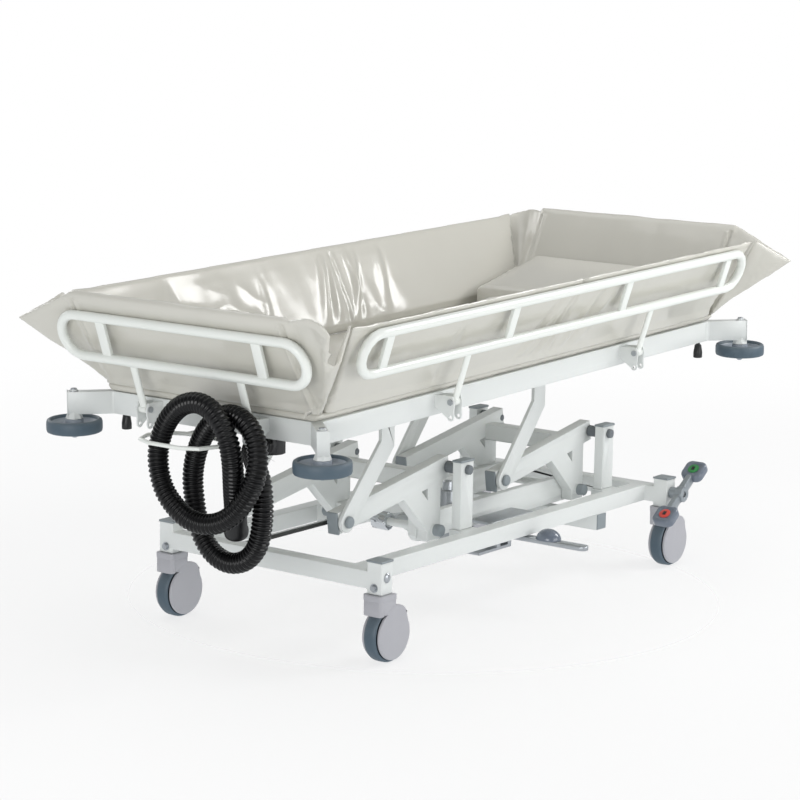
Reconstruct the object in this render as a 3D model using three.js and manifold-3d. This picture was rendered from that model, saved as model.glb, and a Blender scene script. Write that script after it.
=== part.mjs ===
// Shower trolley: a padded tub on a lifting frame, four castors, drain hose at the foot end.
// Millimetres, Z up, the floor is z = 0. +X is the head end, -X the drain end, -Y the near side.
// Pieces are placed from the middle of the base, and the whole is moved so that the middle of the
// trolley's own box is at x = 0.
import * as THREE from 'three';
import Module from 'manifold-3d';
import { mergeVertices } from 'three/addons/utils/BufferGeometryUtils.js';
import { ConvexGeometry } from 'three/addons/geometries/ConvexGeometry.js';

const wasm = await Module();
wasm.setup();

// Driving sizes: base.
const centreShift = 19.94;
const baseLength = 1230;
const baseWidth = 642;
const tubeSize = 40;
const railUnder = 167.5;
const railPastMast = 23;
const castorHeight = 157;
const postTop = 232;
const capRise = 4;
const capLip = 1;
const lowTubeX = 371;
const lowTubePlug = 9;
const seatGap = 0.3;
const cutOver = 5;
const turnGap = 0.5;
const wheelSides = 16;
const roundSides = 12;
const dishSides = 10;
const trimSides = 8;

// Uprights and lift.
const mastX = -137.2;
const liftPitch = 612;
const mastY = 193;
const mastLong = 50;
const mastThick = 25;
const mastTop = 370.4;
const pivotZ = 348;
const pinR = 8;
const pinCapR = 12;
const pinCapLong = 9;
const spacerR = 13.5;
const bushLong = 7;
const armHeight = 50;
const armThick = 30;
const armInnerY = 118;
const armRunX = 391.3;
const armDropZ = 65.4;
const armPastPin = 18;
const armPastPivot = 6;
const bossLong = 24;
const crankBackX = 51.4;
const crankDropZ = 141.9;
const crankWide = 50;
const crankFoot = 26;
const crankReach = 175;
const holeInset = 24;
const crossShaftR = 10;
const torsionSize = 40;
const torsionBackX = 55;
const torsionDropZ = 26;
const linkHeight = 62;
const linkThick = 22;
const linkEndPast = 30;
const linkOpenPlay = 1.5;
const pinHeadR = 13;
const pinHeadLong = 7;

// Ram.
const ramAnchorX = 325;
const ramAnchorZ = 147.5;
const ramEyeR = 22;
const ramEyeThick = 40;
const ramRodR = 15;
const ramRodLong = 230;
const ramHeadStart = 112;
const ramHeadLong = 42;
const ramHeadR = 36;
const ramTubeR = 32;
const ramFootLong = 30;
const anchorPinR = 7;
const anchorHoleR = 15;
const anchorEarThick = 10;
const anchorEarRise = 14;
const portR = 9;
const portLong = 16;

// Pump and pedal.
const pumpX = -14;
const pumpY = -62;
const pumpR = 22.5;
const pumpBottom = 122;
const pumpTop = 284;
const pumpPlateThick = 8;
const pumpPlateX0 = -45;
const pumpPlateX1 = 128;
const pumpPlateY = 150;
const pumpShelfY = 180;
const leverX = 60;
const leverWide = 30;
const leverThick = 11;
const leverTop = 163;
const leverEndY = -415;
const leverPivotY = -165;
const leverPivotR = 7;
const leverEyeR = 15;
const padY = -306;
const padLong = 62;
const padWide = 56;
const padRise = 26;

// Brake.
const hexAcross = 14;
const brakeZ = 194;
const brakeShaftShort = 21;
const rockerStand = 20;
const rockerThick = 15;
const rockerArm = 82;
const rockerRestDeg = 35;
const rockerHubR = 20;
const rockerBossLong = 21;
const bushR = 15;
const brakePadSize = 58;
const brakePadThick = 24;
const brakeCrank = 18;
const brakeCrankThick = 5;
const brakeCrankDeg = 35;
const brakePinR = 4;
const brakeBarY = 162;
const brakeBarThick = 8;
const brakeBarHigh = 12;
const brakeWall = 3.2;

// Castors.
const castorTrail = 26;
const wheelR = 62.3;
const wheelWide = 30;
const wheelHubR = 17;
const axleR = 5;
const forkCheek = 10;
const forkGap = 1.5;
const castorHeadR = 27;
const castorHeadLong = 30;
const castorBlockLong = 49;
const discShare = 0.89;
const castorStemR = 9;
const castorStemLong = 22;

// Top frame, in its own tilted frame, z = 0 on the side rails.
const tiltRad = 0.0288;
const topZ = 584.4;
const topLength = 1626;
const topWidth = 592;
const topRailWide = 30;
const topRailHigh = 50;
const outriggerWide = 25;
const bumperX = 865;
const bumperY = 350.5;
const bumperR = 62.3;
const bumperWide = 30;
const bumperDropZ = 76;
const bumperHubR = 20;
const hangerBendZ = 440;
const hangerInnerY = 151.3;
const hangerThick = 9.5;
const hangerWide = 48;
const hangerBackX = 248.8;
const hangerWeld = 12;

// Guard rails.
const guardTubeR = 11;
const guardLeanDeg = 18;
const guardPivotZ = -17;
const sideGuardOut = 42;
const sideGuardPivotY = topWidth / 2 + sideGuardOut;
const sideGuardHalf = 795;
const endGuardOut = 41;
const endGuardPivotX = topLength / 2 + endGuardOut;
const endGuardHalf = 352;
const guardTopV = 228;
const guardLowV = 113;
const sideLegX = 382;
const endLegY = 150;
const barWide = 25;
const barThick = 10;
const legWide = 20;
const legEyeR = 9;
const guardPinR = 4.5;
const earGap = 12.8;
const earThick = 4;
const earTop = 14;
const earTail = 34;
const earTailR = 9;
const endTopV = 222;
const endLowV = 102;
const sideBarShares = [0.298, 0.883];
const endBarShares = [0.62];

// Liner.
const floorThick = 20;
const wallThick = 20;
const sideWallTop = 212;
const endWallTop = 232;
const crown = 5;
const earThin = 7;
const earTipBack = 18.53;
const earTipOut = 68.11;
const earTipZ = 158;
const pillowLong = 254;
const pillowBackGap = 14;
const pillowBackX = topLength / 2 - pillowBackGap;
const pillowFrontX = pillowBackX - pillowLong;
const pillowHalfY = 258;
const pillowFrontZ = 70;
const pillowBackZ = 124;

// Drain hose.
const hoseR = 23;
const hoseBoreR = 18;
const hoseRibDepth = 2.6;
const hoseRibs = 85;
const cuffR = 24.5;
const cuffLong = 62;
const hoseBoreEvery = 5;
const hoseSides = 8;
const hoseStraight = 46;
const hoseRoute = [
  [-752, -104, 482], [-795, -110, 482], [-830, -135, 477], [-856, -167, 460], [-869, -193, 427],
  [-871, -200, 384], [-870, -197, 338], [-869, -184, 291], [-867, -151, 256], [-866, -105, 243],
  [-864, -60, 255], [-863, -27, 288], [-863, -11, 330], [-864, -3, 372], [-867, -2, 413],
  [-871, -11, 455], [-875, -29, 495], [-881, -56, 530], [-887, -90, 556], [-893, -132, 569],
  [-900, -173, 560], [-905, -204, 532], [-911, -218, 491], [-917, -216, 448], [-922, -199, 407],
  [-927, -172, 372], [-930, -136, 347], [-932, -92, 336], [-933, -50, 341], [-932, -10, 362],
  [-931, 21, 393], [-930, 38, 434], [-930, 40, 478], [-930, 27, 521], [-932, 3, 556],
  [-935, -32, 583], [-939, -75, 594], [-943, -116, 585], [-945, -149, 556], [-940, -165, 516],
  [-929, -165, 474], [-913, -154, 434], [-895, -141, 397], [-876, -128, 358],
];
const outletR = 30;
const ringZ = 500;
const ringNear = -111;
const ringFar = 98;
const ringFront = -972;
const ringBack = -846;
const ringBarR = 5;

const finish = {
  paint: new THREE.MeshStandardMaterial({ color: 0xdfe3df, roughness: 0.38, metalness: 0.05 }),
  steel: new THREE.MeshStandardMaterial({ color: 0xb9bec2, roughness: 0.3, metalness: 0.9 }),
  chrome: new THREE.MeshStandardMaterial({ color: 0xd8dcdf, roughness: 0.12, metalness: 1 }),
  capGrey: new THREE.MeshStandardMaterial({ color: 0x6f787d, roughness: 0.55, metalness: 0 }),
  shell: new THREE.MeshStandardMaterial({ color: 0xacacb2, roughness: 0.5, metalness: 0 }),
  tyre: new THREE.MeshStandardMaterial({ color: 0x5a6873, roughness: 0.6, metalness: 0 }),
  pedal: new THREE.MeshStandardMaterial({ color: 0x5c6a75, roughness: 0.3, metalness: 0 }),
  black: new THREE.MeshStandardMaterial({ color: 0x16171a, roughness: 0.45, metalness: 0 }),
  white: new THREE.MeshStandardMaterial({ color: 0xeceeee, roughness: 0.35, metalness: 0 }),
  vinyl: new THREE.MeshStandardMaterial({ color: 0xcbc8c0, roughness: 0.35, metalness: 0 }),
};

// Helpers.
function solid(geometry) {
  geometry.deleteAttribute('normal');
  geometry.deleteAttribute('uv');
  const merged = mergeVertices(geometry);
  return new wasm.Manifold(new wasm.Mesh({
    numProp: 3,
    vertProperties: new Float32Array(merged.attributes.position.array),
    triVerts: new Uint32Array(merged.index.array),
  }));
}

function box(x0, x1, y0, y1, z0, z1) {
  const g = new THREE.BoxGeometry(x1 - x0, y1 - y0, z1 - z0);
  g.translate((x0 + x1) / 2, (y0 + y1) / 2, (z0 + z1) / 2);
  return solid(g);
}

// A profile of [radius, height] pairs turned about x, y or z, at (u, v) in the other two axes.
function turned(axis, profile, u, v, sides = roundSides) {
  const g = new THREE.LatheGeometry(profile.map(([r, h]) => new THREE.Vector2(r, h)), sides);
  if (axis === 'x') {
    g.rotateZ(-Math.PI / 2);
    g.translate(0, u, v);
  }
  if (axis === 'y') g.translate(u, 0, v);
  if (axis === 'z') {
    g.rotateX(Math.PI / 2);
    g.translate(u, v, 0);
  }
  return solid(g);
}

function rod(axis, radius, from, to, u, v, sides = roundSides) {
  return turned(axis, [[0, from], [radius, from], [radius, to], [0, to]], u, v, sides);
}

// An outline in x and z, extruded from y0 to y1.
function plateXZ(shape, y0, y1, curveSegments = 3) {
  const g = new THREE.ExtrudeGeometry(shape, { depth: y1 - y0, bevelEnabled: false, curveSegments });
  g.rotateX(Math.PI / 2);
  g.translate(0, y1, 0);
  return solid(g);
}

// An outline in y and z, extruded from x0 to x1.
function plateYZ(shape, x0, x1, curveSegments = 3) {
  const g = new THREE.ExtrudeGeometry(shape, { depth: x1 - x0, bevelEnabled: false, curveSegments });
  g.applyMatrix4(new THREE.Matrix4().makeBasis(
    new THREE.Vector3(0, 1, 0), new THREE.Vector3(0, 0, 1), new THREE.Vector3(1, 0, 0)));
  g.translate(x0, 0, 0);
  return solid(g);
}

function plateXY(shape, z0, z1, curveSegments = 3) {
  const g = new THREE.ExtrudeGeometry(shape, { depth: z1 - z0, bevelEnabled: false, curveSegments });
  g.translate(0, 0, z0);
  return solid(g);
}

function outline(points) {
  return new THREE.Shape(points.map(([a, b]) => new THREE.Vector2(a, b)));
}

// A flat bar that follows a list of points, mitred at the bends, round at the last point.
function bentBar(points, half) {
  const p = points.map(([a, b]) => new THREE.Vector2(a, b));
  const dirs = p.slice(1).map((q, i) => q.clone().sub(p[i]).normalize());
  const left = [];
  const right = [];
  p.forEach((q, i) => {
    const before = dirs[Math.max(0, i - 1)];
    const after = dirs[Math.min(dirs.length - 1, i)];
    const n = new THREE.Vector2(-before.y - after.y, before.x + after.x).normalize();
    const stretch = half / (n.x * -before.y + n.y * before.x);
    left.push(q.clone().addScaledVector(n, stretch));
    right.unshift(q.clone().addScaledVector(n, -stretch));
  });
  const end = p[p.length - 1];
  const d = dirs[dirs.length - 1];
  const start = Math.atan2(d.x, -d.y);
  const shape = new THREE.Shape(left);
  shape.absarc(end.x, end.y, half, start, start - Math.PI, true);
  right.slice(1).forEach((q) => shape.lineTo(q.x, q.y));
  return shape;
}

// A round-ended bar outline between two points.
function capsule(ax, ay, bx, by, r) {
  const s = new THREE.Shape();
  const a = Math.atan2(by - ay, bx - ax);
  s.absarc(bx, by, r, a - Math.PI / 2, a + Math.PI / 2, false);
  s.absarc(ax, ay, r, a + Math.PI / 2, a + Math.PI * 1.5, false);
  return s;
}

// A closed ring of round tube: two straights joined by half circles, in the u-v plane.
class RingPath extends THREE.Curve {
  constructor(points) {
    super();
    this.points = points;
  }

  getPoint(t) {
    const n = this.points.length;
    return this.points[Math.round(t * n) % n].clone();
  }

  getPointAt(t) {
    return this.getPoint(t);
  }

  getTangentAt(t) {
    const n = this.points.length;
    const i = Math.round(t * n) % n;
    const before = this.points[i].clone().sub(this.points[(i + n - 1) % n]).normalize();
    const after = this.points[(i + 1) % n].clone().sub(this.points[i]).normalize();
    return before.add(after).normalize();
  }
}

function stadiumTube(half, low, high, tubeR, steps = 5, sides = trimSides) {
  const r = (high - low) / 2;
  const points = [];
  for (const side of [1, -1]) {
    for (let i = 0; i <= steps; i += 1) {
      const a = side * (-Math.PI / 2) + Math.PI * (i / steps);
      points.push(new THREE.Vector3(
        side * (half - tubeR - r) + r * Math.cos(a), 0, low + r + r * Math.sin(a)));
    }
  }
  return solid(new THREE.TubeGeometry(new RingPath(points), points.length, tubeR, sides, true));
}

function hull(points) {
  return solid(new ConvexGeometry(points.map(([x, y, z]) => new THREE.Vector3(x, y, z))));
}

// A padded panel between four corners, counted round its outer face, with a raised inner face.
// The far side, from the fourth corner to the third, can have its own thickness and direction.
function paddedPanel(corners, inward, thick, rise, far = {}, along = 14, across = 5) {
  const [a, b, c, d] = corners.map(([x, y, z]) => new THREE.Vector3(x, y, z));
  const nearPush = new THREE.Vector3(...inward);
  const farPush = new THREE.Vector3(...(far.inward || inward));
  const farThick = far.thick || thick;
  const positions = [];
  const index = [];
  const row = along + 1;
  for (const face of [0, 1]) {
    for (let j = 0; j <= across; j += 1) {
      for (let i = 0; i <= along; i += 1) {
        const s = i / along;
        const t = j / across;
        const p = a.clone().lerp(b, s).lerp(d.clone().lerp(c, s), t);
        const swell = (1 - (2 * s - 1) ** 8) * (1 - (2 * t - 1) ** 4);
        const push = nearPush.clone().lerp(farPush, t);
        p.addScaledVector(push, face * (thick + (farThick - thick) * t + rise * swell));
        positions.push(p.x, p.y, p.z);
      }
    }
  }
  const at = (face, i, j) => face * row * (across + 1) + j * row + i;
  const quad = (p, q, r, s) => index.push(p, q, r, p, r, s);
  for (let j = 0; j < across; j += 1) {
    for (let i = 0; i < along; i += 1) {
      quad(at(0, i, j), at(0, i + 1, j), at(0, i + 1, j + 1), at(0, i, j + 1));
      quad(at(1, i, j), at(1, i, j + 1), at(1, i + 1, j + 1), at(1, i + 1, j));
    }
  }
  for (let i = 0; i < along; i += 1) {
    quad(at(0, i, 0), at(1, i, 0), at(1, i + 1, 0), at(0, i + 1, 0));
    quad(at(0, i + 1, across), at(1, i + 1, across), at(1, i, across), at(0, i, across));
  }
  for (let j = 0; j < across; j += 1) {
    quad(at(0, 0, j + 1), at(1, 0, j + 1), at(1, 0, j), at(0, 0, j));
    quad(at(0, along, j), at(1, along, j), at(1, along, j + 1), at(0, along, j + 1));
  }
  const g = new THREE.BufferGeometry();
  g.setAttribute('position', new THREE.Float32BufferAttribute(positions, 3));
  g.setIndex(index);
  return solid(g);
}

const assembly = new THREE.Group();
assembly.name = 'shower_trolley';
assembly.position.x = centreShift;
const topGroup = new THREE.Group();
topGroup.name = 'tilted_top';
topGroup.position.z = topZ;
topGroup.rotation.y = -tiltRad;
assembly.add(topGroup);

function node(name, manifold, material, parent = assembly, position = [0, 0, 0]) {
  const out = manifold.asOriginal().getMesh();
  const g = new THREE.BufferGeometry();
  g.setAttribute('position', new THREE.BufferAttribute(new Float32Array(out.vertProperties), 3));
  g.setIndex(new THREE.BufferAttribute(new Uint32Array(out.triVerts), 1));
  g.computeVertexNormals();
  const mesh = new THREE.Mesh(g, material);
  mesh.name = name;
  mesh.position.set(...position);
  parent.add(mesh);
  return mesh;
}

// Base frame: two side rails, two end rails, four corner posts, stubs and the low tube.
const halfLength = baseLength / 2;
const halfWidth = baseWidth / 2;
const postX = halfLength - tubeSize / 2;
const postY = halfWidth - tubeSize / 2;
const railInnerY = mastY + railPastMast;
const railOuterY = railInnerY + tubeSize;
const rockerInnerY = halfWidth + rockerStand;
const rockerBossEnd = rockerInnerY + rockerBossLong;
const brakeShaftEnd = halfWidth - brakeShaftShort;
const railTop = railUnder + tubeSize;
const masts = [mastX, mastX + liftPitch];
const ends = [['drain', -1], ['head', 1]];
const sides = [['near', -1], ['far', 1]];

let base = box(-halfLength, halfLength, railInnerY, railOuterY, railUnder, railTop)
  .add(box(-halfLength, halfLength, -railOuterY, -railInnerY, railUnder, railTop));
for (const [, sx] of ends) {
  const inner = sx * (halfLength - tubeSize);
  base = base.add(box(Math.min(inner, sx * halfLength), Math.max(inner, sx * halfLength),
    -halfWidth, halfWidth, railUnder, railTop));
  for (const [, sy] of sides) {
    base = base.add(box(sx * postX - tubeSize / 2, sx * postX + tubeSize / 2,
      sy * postY - tubeSize / 2, sy * postY + tubeSize / 2, castorHeight + seatGap, postTop - capRise));
    base = base.add(box(sx * postX - tubeSize / 2 - capLip, sx * postX + tubeSize / 2 + capLip,
      sy * postY - tubeSize / 2 - capLip, sy * postY + tubeSize / 2 + capLip, postTop - capRise, postTop));
  }
}
const stubInnerY = mastY - mastThick / 2 - capRise;
for (const x of masts) {
  for (const [, sy] of sides) {
    base = base.add(box(x - mastLong / 2 - capRise, x + mastLong / 2 + capRise,
      Math.min(sy * stubInnerY, sy * railOuterY), Math.max(sy * stubInnerY, sy * railOuterY),
      railUnder, railTop));
  }
}
const lowTubeTop = railUnder;
const lowTubeBottom = railUnder - tubeSize;
base = base.add(box(lowTubeX - tubeSize / 2, lowTubeX + tubeSize / 2,
  -railOuterY, railOuterY, lowTubeBottom, lowTubeTop));
// Two ears on the low tube carry the ram's foot.
const ramFootHalf = ramEyeThick / 2;
for (const [, sy] of sides) {
  const y0 = Math.min(sy * (ramFootHalf + linkOpenPlay), sy * (ramFootHalf + linkOpenPlay + anchorEarThick));
  base = base.add(plateXZ(capsule(ramAnchorX, ramAnchorZ, lowTubeX, ramAnchorZ, anchorEarRise),
    y0, y0 + anchorEarThick));
}
base = base.add(rod('y', anchorPinR, -ramFootHalf - anchorEarThick, ramFootHalf + anchorEarThick,
  ramAnchorX, ramAnchorZ, roundSides));
// The hex shafts run through the end rails, which are slotted inside and below for their cranks.
for (const [, sx] of ends) {
  base = base.subtract(rod('y', hexAcross / Math.sqrt(3) + seatGap + capLip, -halfWidth - cutOver,
    halfWidth + cutOver, sx * postX, brakeZ, roundSides));
  const slotY = brakeBarY - brakeBarThick / 2 - brakeCrankThick - capRise;
  const slotIn = sx * (halfLength - tubeSize - cutOver);
  const slotOut = sx * (halfLength - brakeWall);
  base = base.subtract(box(Math.min(slotIn, slotOut), Math.max(slotIn, slotOut), slotY,
    brakeBarY + brakeBarThick / 2 + capRise, railUnder - cutOver, railTop - brakeWall));
  for (const [, sy] of sides) {
    base = base.subtract(rod('z', castorStemR + turnGap, castorHeight - cutOver,
      castorHeight + castorStemLong + seatGap, sx * postX, sy * postY, roundSides));
  }
}
node('base_frame', base, finish.paint);

// Uprights with their top caps and pivot pins.
const mastNames = ['left', 'right'];
masts.forEach((x, i) => {
  for (const [sideName, sy] of sides) {
    const y = sy * mastY;
    const body = box(x - mastLong / 2, x + mastLong / 2, y - mastThick / 2, y + mastThick / 2,
      railTop + seatGap, mastTop - capRise)
      .add(box(x - mastLong / 2 - capLip, x + mastLong / 2 + capLip, y - mastThick / 2 - capLip,
        y + mastThick / 2 + capLip, mastTop - capRise, mastTop))
      .subtract(rod('y', pinR + seatGap, y - mastThick, y + mastThick, x, pivotZ));
    node(`upright_${mastNames[i]}_${sideName}`, body, finish.paint);
    const outer = mastY + mastThick / 2 + seatGap;
    const inner = armInnerY + armThick + seatGap;
    const spacerEnd = mastY - mastThick / 2 - seatGap;
    const profile = [
      [0, armInnerY - capLip], [pinR, armInnerY - capLip], [pinR, inner],
      [spacerR + capLip, inner], [spacerR + capLip, inner + bushLong], [spacerR, spacerEnd],
      [pinR, spacerEnd], [pinR, outer], [pinCapR, outer],
      [pinCapR - capLip, outer + pinCapLong], [0, outer + pinCapLong],
    ].map(([r, h]) => [r, h * sy]);
    if (sy < 0) profile.reverse();
    node(`pivot_pin_${mastNames[i]}_${sideName}`, turned('y', profile, x, pivotZ), finish.capGrey);
  }
});

// Lift arms: two tubes with their crank boxes, joined by a torsion tube.
const armLength = Math.hypot(armRunX, armDropZ);
const armAngle = Math.atan2(armDropZ, armRunX);
function liftArm(x) {
  let arm = null;
  const along = (s, up) => [
    x - s * Math.cos(armAngle) - up * Math.sin(armAngle),
    pivotZ - s * Math.sin(armAngle) + up * Math.cos(armAngle),
  ];
  const tube = outline([
    along(-armPastPivot, -armHeight / 2), along(-armPastPivot, armHeight / 2),
    along(armLength + armPastPin, armHeight / 2), along(armLength + armPastPin, -armHeight / 2),
  ]);
  const pinX = x - crankBackX;
  const pinZ = pivotZ - crankDropZ;
  const legRight = pinX + crankWide / 2 - (crankBackX - torsionBackX) / 2;
  const legLeft = legRight - crankWide;
  const footZ = pinZ - crankFoot;
  const crank = outline([
    [legRight, footZ], [legRight, pivotZ], along(crankReach, 0), along(crankReach, -armHeight / 2),
    [legLeft, pinZ], [legLeft, footZ],
  ]);
  const holeTop = along(crankWide + holeInset, -armHeight / 2 - capRise);
  const hole = outline([
    [legLeft, holeTop[1]], [legLeft - holeInset, holeTop[1] - capRise],
    [legLeft, holeTop[1] - holeInset - capRise],
  ]);
  for (const [, sy] of sides) {
    const y0 = Math.min(sy * armInnerY, sy * (armInnerY + armThick));
    const y1 = y0 + armThick;
    const outerY = armInnerY + armThick;
    let part = plateXZ(tube, y0, y1).add(plateXZ(crank, y0, y1))
      .subtract(plateXZ(hole, y0 - cutOver, y1 + cutOver))
      .subtract(rod('y', pinR + seatGap, y0 - cutOver, y1 + cutOver, x, pivotZ));
    const hx = x - armRunX;
    const hz = pivotZ - armDropZ;
    const headIn = hangerInnerY + hangerThick + seatGap;
    const pinProfile = [
      [0, outerY - capRise], [pinR, outerY - capRise], [pinR, headIn], [pinHeadR, headIn],
      [pinHeadR - capLip, headIn + pinHeadLong], [0, headIn + pinHeadLong],
    ].map(([r, h]) => [r, h * sy]);
    const bossProfile = [
      [0, outerY - capRise], [pinHeadR, outerY - capRise], [pinHeadR - capLip, outerY + bossLong],
      [0, outerY + bossLong],
    ].map(([r, h]) => [r, h * sy]);
    if (sy < 0) {
      pinProfile.reverse();
      bossProfile.reverse();
    }
    part = part.add(turned('y', pinProfile, hx, hz)).add(turned('y', bossProfile, pinX, pinZ));
    arm = arm ? arm.add(part) : part;
  }
  const tx = x - torsionBackX;
  const tz = pivotZ - torsionDropZ;
  return arm
    .add(box(tx - torsionSize / 2, tx + torsionSize / 2, -armInnerY - capLip, armInnerY + capLip,
      tz - torsionSize / 2, tz + torsionSize / 2))
    .add(rod('y', crossShaftR, -armInnerY - capLip, armInnerY + capLip, pinX, pinZ));
}
masts.forEach((x, i) => node(`lift_arm_${mastNames[i]}`, liftArm(x), finish.paint));

// The two link bars that tie the cranks together.
const crankPins = masts.map((x) => x - crankBackX);
const crankPinZ = pivotZ - crankDropZ;
for (const [sideName, sy] of sides) {
  const outerY = armInnerY - seatGap;
  const y0 = Math.min(sy * outerY, sy * (outerY - linkThick));
  const chamfer = linkEndPast / 2;
  const x0 = crankPins[0] - linkEndPast;
  const x1 = crankPins[1] + linkEndPast;
  const z0 = crankPinZ - linkHeight / 2;
  const z1 = crankPinZ + linkHeight / 2;
  const bar = plateXZ(outline([
    [x0, z0 + chamfer], [x0 + chamfer, z0], [x1 - chamfer, z0], [x1, z0 + chamfer],
    [x1, z1], [x0, z1],
  ]), y0, y0 + linkThick)
    .subtract(rod('y', crossShaftR + turnGap, y0 - cutOver, y0 + linkThick + cutOver,
      crankPins[0], crankPinZ))
    .subtract(rod('y', crossShaftR + linkOpenPlay, y0 - cutOver, y0 + linkThick + cutOver,
      crankPins[1], crankPinZ));
  node(`crank_link_${sideName}`, bar, finish.paint);
}

// Hydraulic ram: the rod's eye turns on the left cross shaft, the foot sits in the ears.
const ramDX = ramAnchorX - crankPins[0];
const ramDZ = ramAnchorZ - crankPinZ;
const ramLength = Math.hypot(ramDX, ramDZ);
const ramAngle = Math.atan2(-ramDZ, ramDX);
const ramGroup = new THREE.Group();
ramGroup.name = 'ram';
ramGroup.position.set(crankPins[0], 0, crankPinZ);
ramGroup.rotation.y = ramAngle;
assembly.add(ramGroup);
const rodEye = rod('y', ramEyeR, -ramEyeThick / 2, ramEyeThick / 2, 0, 0)
  .add(rod('x', ramRodR, crossShaftR * 1.5, ramRodLong, 0, 0))
  .subtract(rod('y', crossShaftR + turnGap, -ramEyeThick, ramEyeThick, 0, 0));
node('ram_rod', rodEye, finish.chrome, ramGroup);
const headEnd = ramHeadStart + ramHeadLong;
const boreEnd = ramRodLong + portLong;
const tubeEnd = ramLength - ramFootLong;
const ramShell = turned('x', [
  [ramRodR + seatGap, ramHeadStart], [ramHeadR - capRise, ramHeadStart],
  [ramHeadR, ramHeadStart + capRise], [ramHeadR, headEnd], [ramTubeR, headEnd],
  [ramTubeR, tubeEnd], [0, tubeEnd], [0, boreEnd], [ramRodR + seatGap, boreEnd],
  [ramRodR + seatGap, ramHeadStart],
], 0, 0)
  .add(box(tubeEnd - capRise, ramLength, -ramFootHalf, ramFootHalf, -anchorHoleR - capRise,
    anchorHoleR + capRise))
  .add(rod('y', anchorHoleR + capRise, -ramFootHalf, ramFootHalf, ramLength, 0))
  .add(rod('z', portR, -ramHeadR - portLong, 0, ramHeadStart + ramHeadLong / 2, 0, roundSides))
  .subtract(rod('x', ramRodR + seatGap, ramHeadStart - cutOver, boreEnd, 0, 0))
  .subtract(rod('y', anchorHoleR, -ramEyeThick, ramEyeThick, ramLength, 0));
node('ram_cylinder', ramShell, finish.paint, ramGroup);

// Foot pump: a plate on the near rail, two cheeks, a shelf under the link and the pump.
const plateTop = railTop;
const shelfTop = pumpBottom + pumpPlateThick;
const cheekNear = leverWide / 2 + seatGap * 2;
const leverMidZ = leverTop - leverThick / 2;
const pump = turned('z', [
  [0, pumpBottom], [pumpR, pumpBottom], [pumpR, pumpTop - pumpR], [pumpR * 0.55, pumpTop - pumpR],
  [pumpR * 0.55, pumpTop - capRise], [pumpR * 0.4, pumpTop], [0, pumpTop],
], pumpX, pumpY)
  .add(box(pumpPlateX0, pumpPlateX1, -railInnerY + seatGap, -pumpPlateY, plateTop - pumpPlateThick,
    plateTop))
  .add(box(pumpPlateX0, leverX + leverWide, -pumpShelfY, pumpY, pumpBottom, shelfTop))
  .add(box(leverX - leverWide, leverX - cheekNear, -pumpShelfY, -pumpPlateY, pumpBottom, plateTop))
  .add(box(leverX + cheekNear, leverX + leverWide, -pumpShelfY, -pumpPlateY, pumpBottom, plateTop))
  .add(rod('x', leverPivotR, leverX - leverWide, leverX + leverWide, leverPivotY, leverMidZ));
node('foot_pump', pump, finish.steel);
const leverOutline = capsule(leverX, leverEndY + leverWide / 2, leverX, leverPivotY, leverWide / 2);
const lever = plateXY(leverOutline, leverTop - leverThick, leverTop)
  .intersect(box(leverX - leverWide / 2, leverX + leverWide / 2, leverEndY, leverPivotY,
    leverTop - leverThick, leverTop))
  .add(rod('x', leverEyeR * 0.8, leverX - leverWide / 2, leverX + leverWide / 2, leverPivotY, leverMidZ))
  .subtract(rod('x', leverPivotR + seatGap, leverX - leverWide, leverX + leverWide, leverPivotY,
    leverMidZ, roundSides));
node('pump_lever', lever, finish.steel);
const padGeometry = new THREE.SphereGeometry(1, 16, 8);
padGeometry.rotateX(Math.PI / 2);
padGeometry.scale(padWide / 2, padLong / 2, padRise);
padGeometry.translate(leverX, padY, leverTop + seatGap);
const pad = solid(padGeometry)
  .intersect(box(leverX - padWide, leverX + padWide, padY - padLong, padY + padLong,
    leverTop + seatGap, leverTop + padRise + cutOver));
node('pump_pad', pad, finish.pedal);

// Brake: a hex shaft in each end of the base, cranks, the tie bar and the two-pad rocker.
function hexShaft(x, y0, y1, turn) {
  const g = new THREE.CylinderGeometry(hexAcross / Math.sqrt(3), hexAcross / Math.sqrt(3), y1 - y0, 6);
  g.rotateY(turn);
  g.translate(x, (y0 + y1) / 2, brakeZ);
  return solid(g);
}
const crankRad = THREE.MathUtils.degToRad(brakeCrankDeg);
const crankDX = brakeCrank * Math.sin(crankRad);
const crankDZ = -brakeCrank * Math.cos(crankRad);
const crankY1 = brakeBarY - brakeBarThick / 2 - seatGap;
for (const [endName, sx] of ends) {
  const x = sx * postX;
  const first = sx > 0 ? -rockerBossEnd + capRise : -halfWidth - seatGap - capLip;
  let shaft = hexShaft(x, first, brakeShaftEnd, 0)
    .add(plateXZ(capsule(x, brakeZ, x + crankDX, brakeZ + crankDZ, brakeBarHigh / 2),
      crankY1 - brakeCrankThick, crankY1))
    .add(rod('y', brakePinR, crankY1 - brakeCrankThick / 2, brakeBarY + brakeBarThick / 2 + capLip,
      x + crankDX, brakeZ + crankDZ, roundSides));
  if (sx < 0) {
    const face = -halfWidth - seatGap;
    shaft = shaft.add(turned('y', [
      [0, face - capRise], [pinCapR * 0.6, face - capRise * 0.8], [pinCapR, face], [0, face],
    ], x, brakeZ));
  }
  node(`brake_shaft_${endName}`, shaft, finish.steel);
}
const tieX0 = -postX + crankDX;
const tieX1 = postX + crankDX;
const tieZ = brakeZ + crankDZ;
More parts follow.
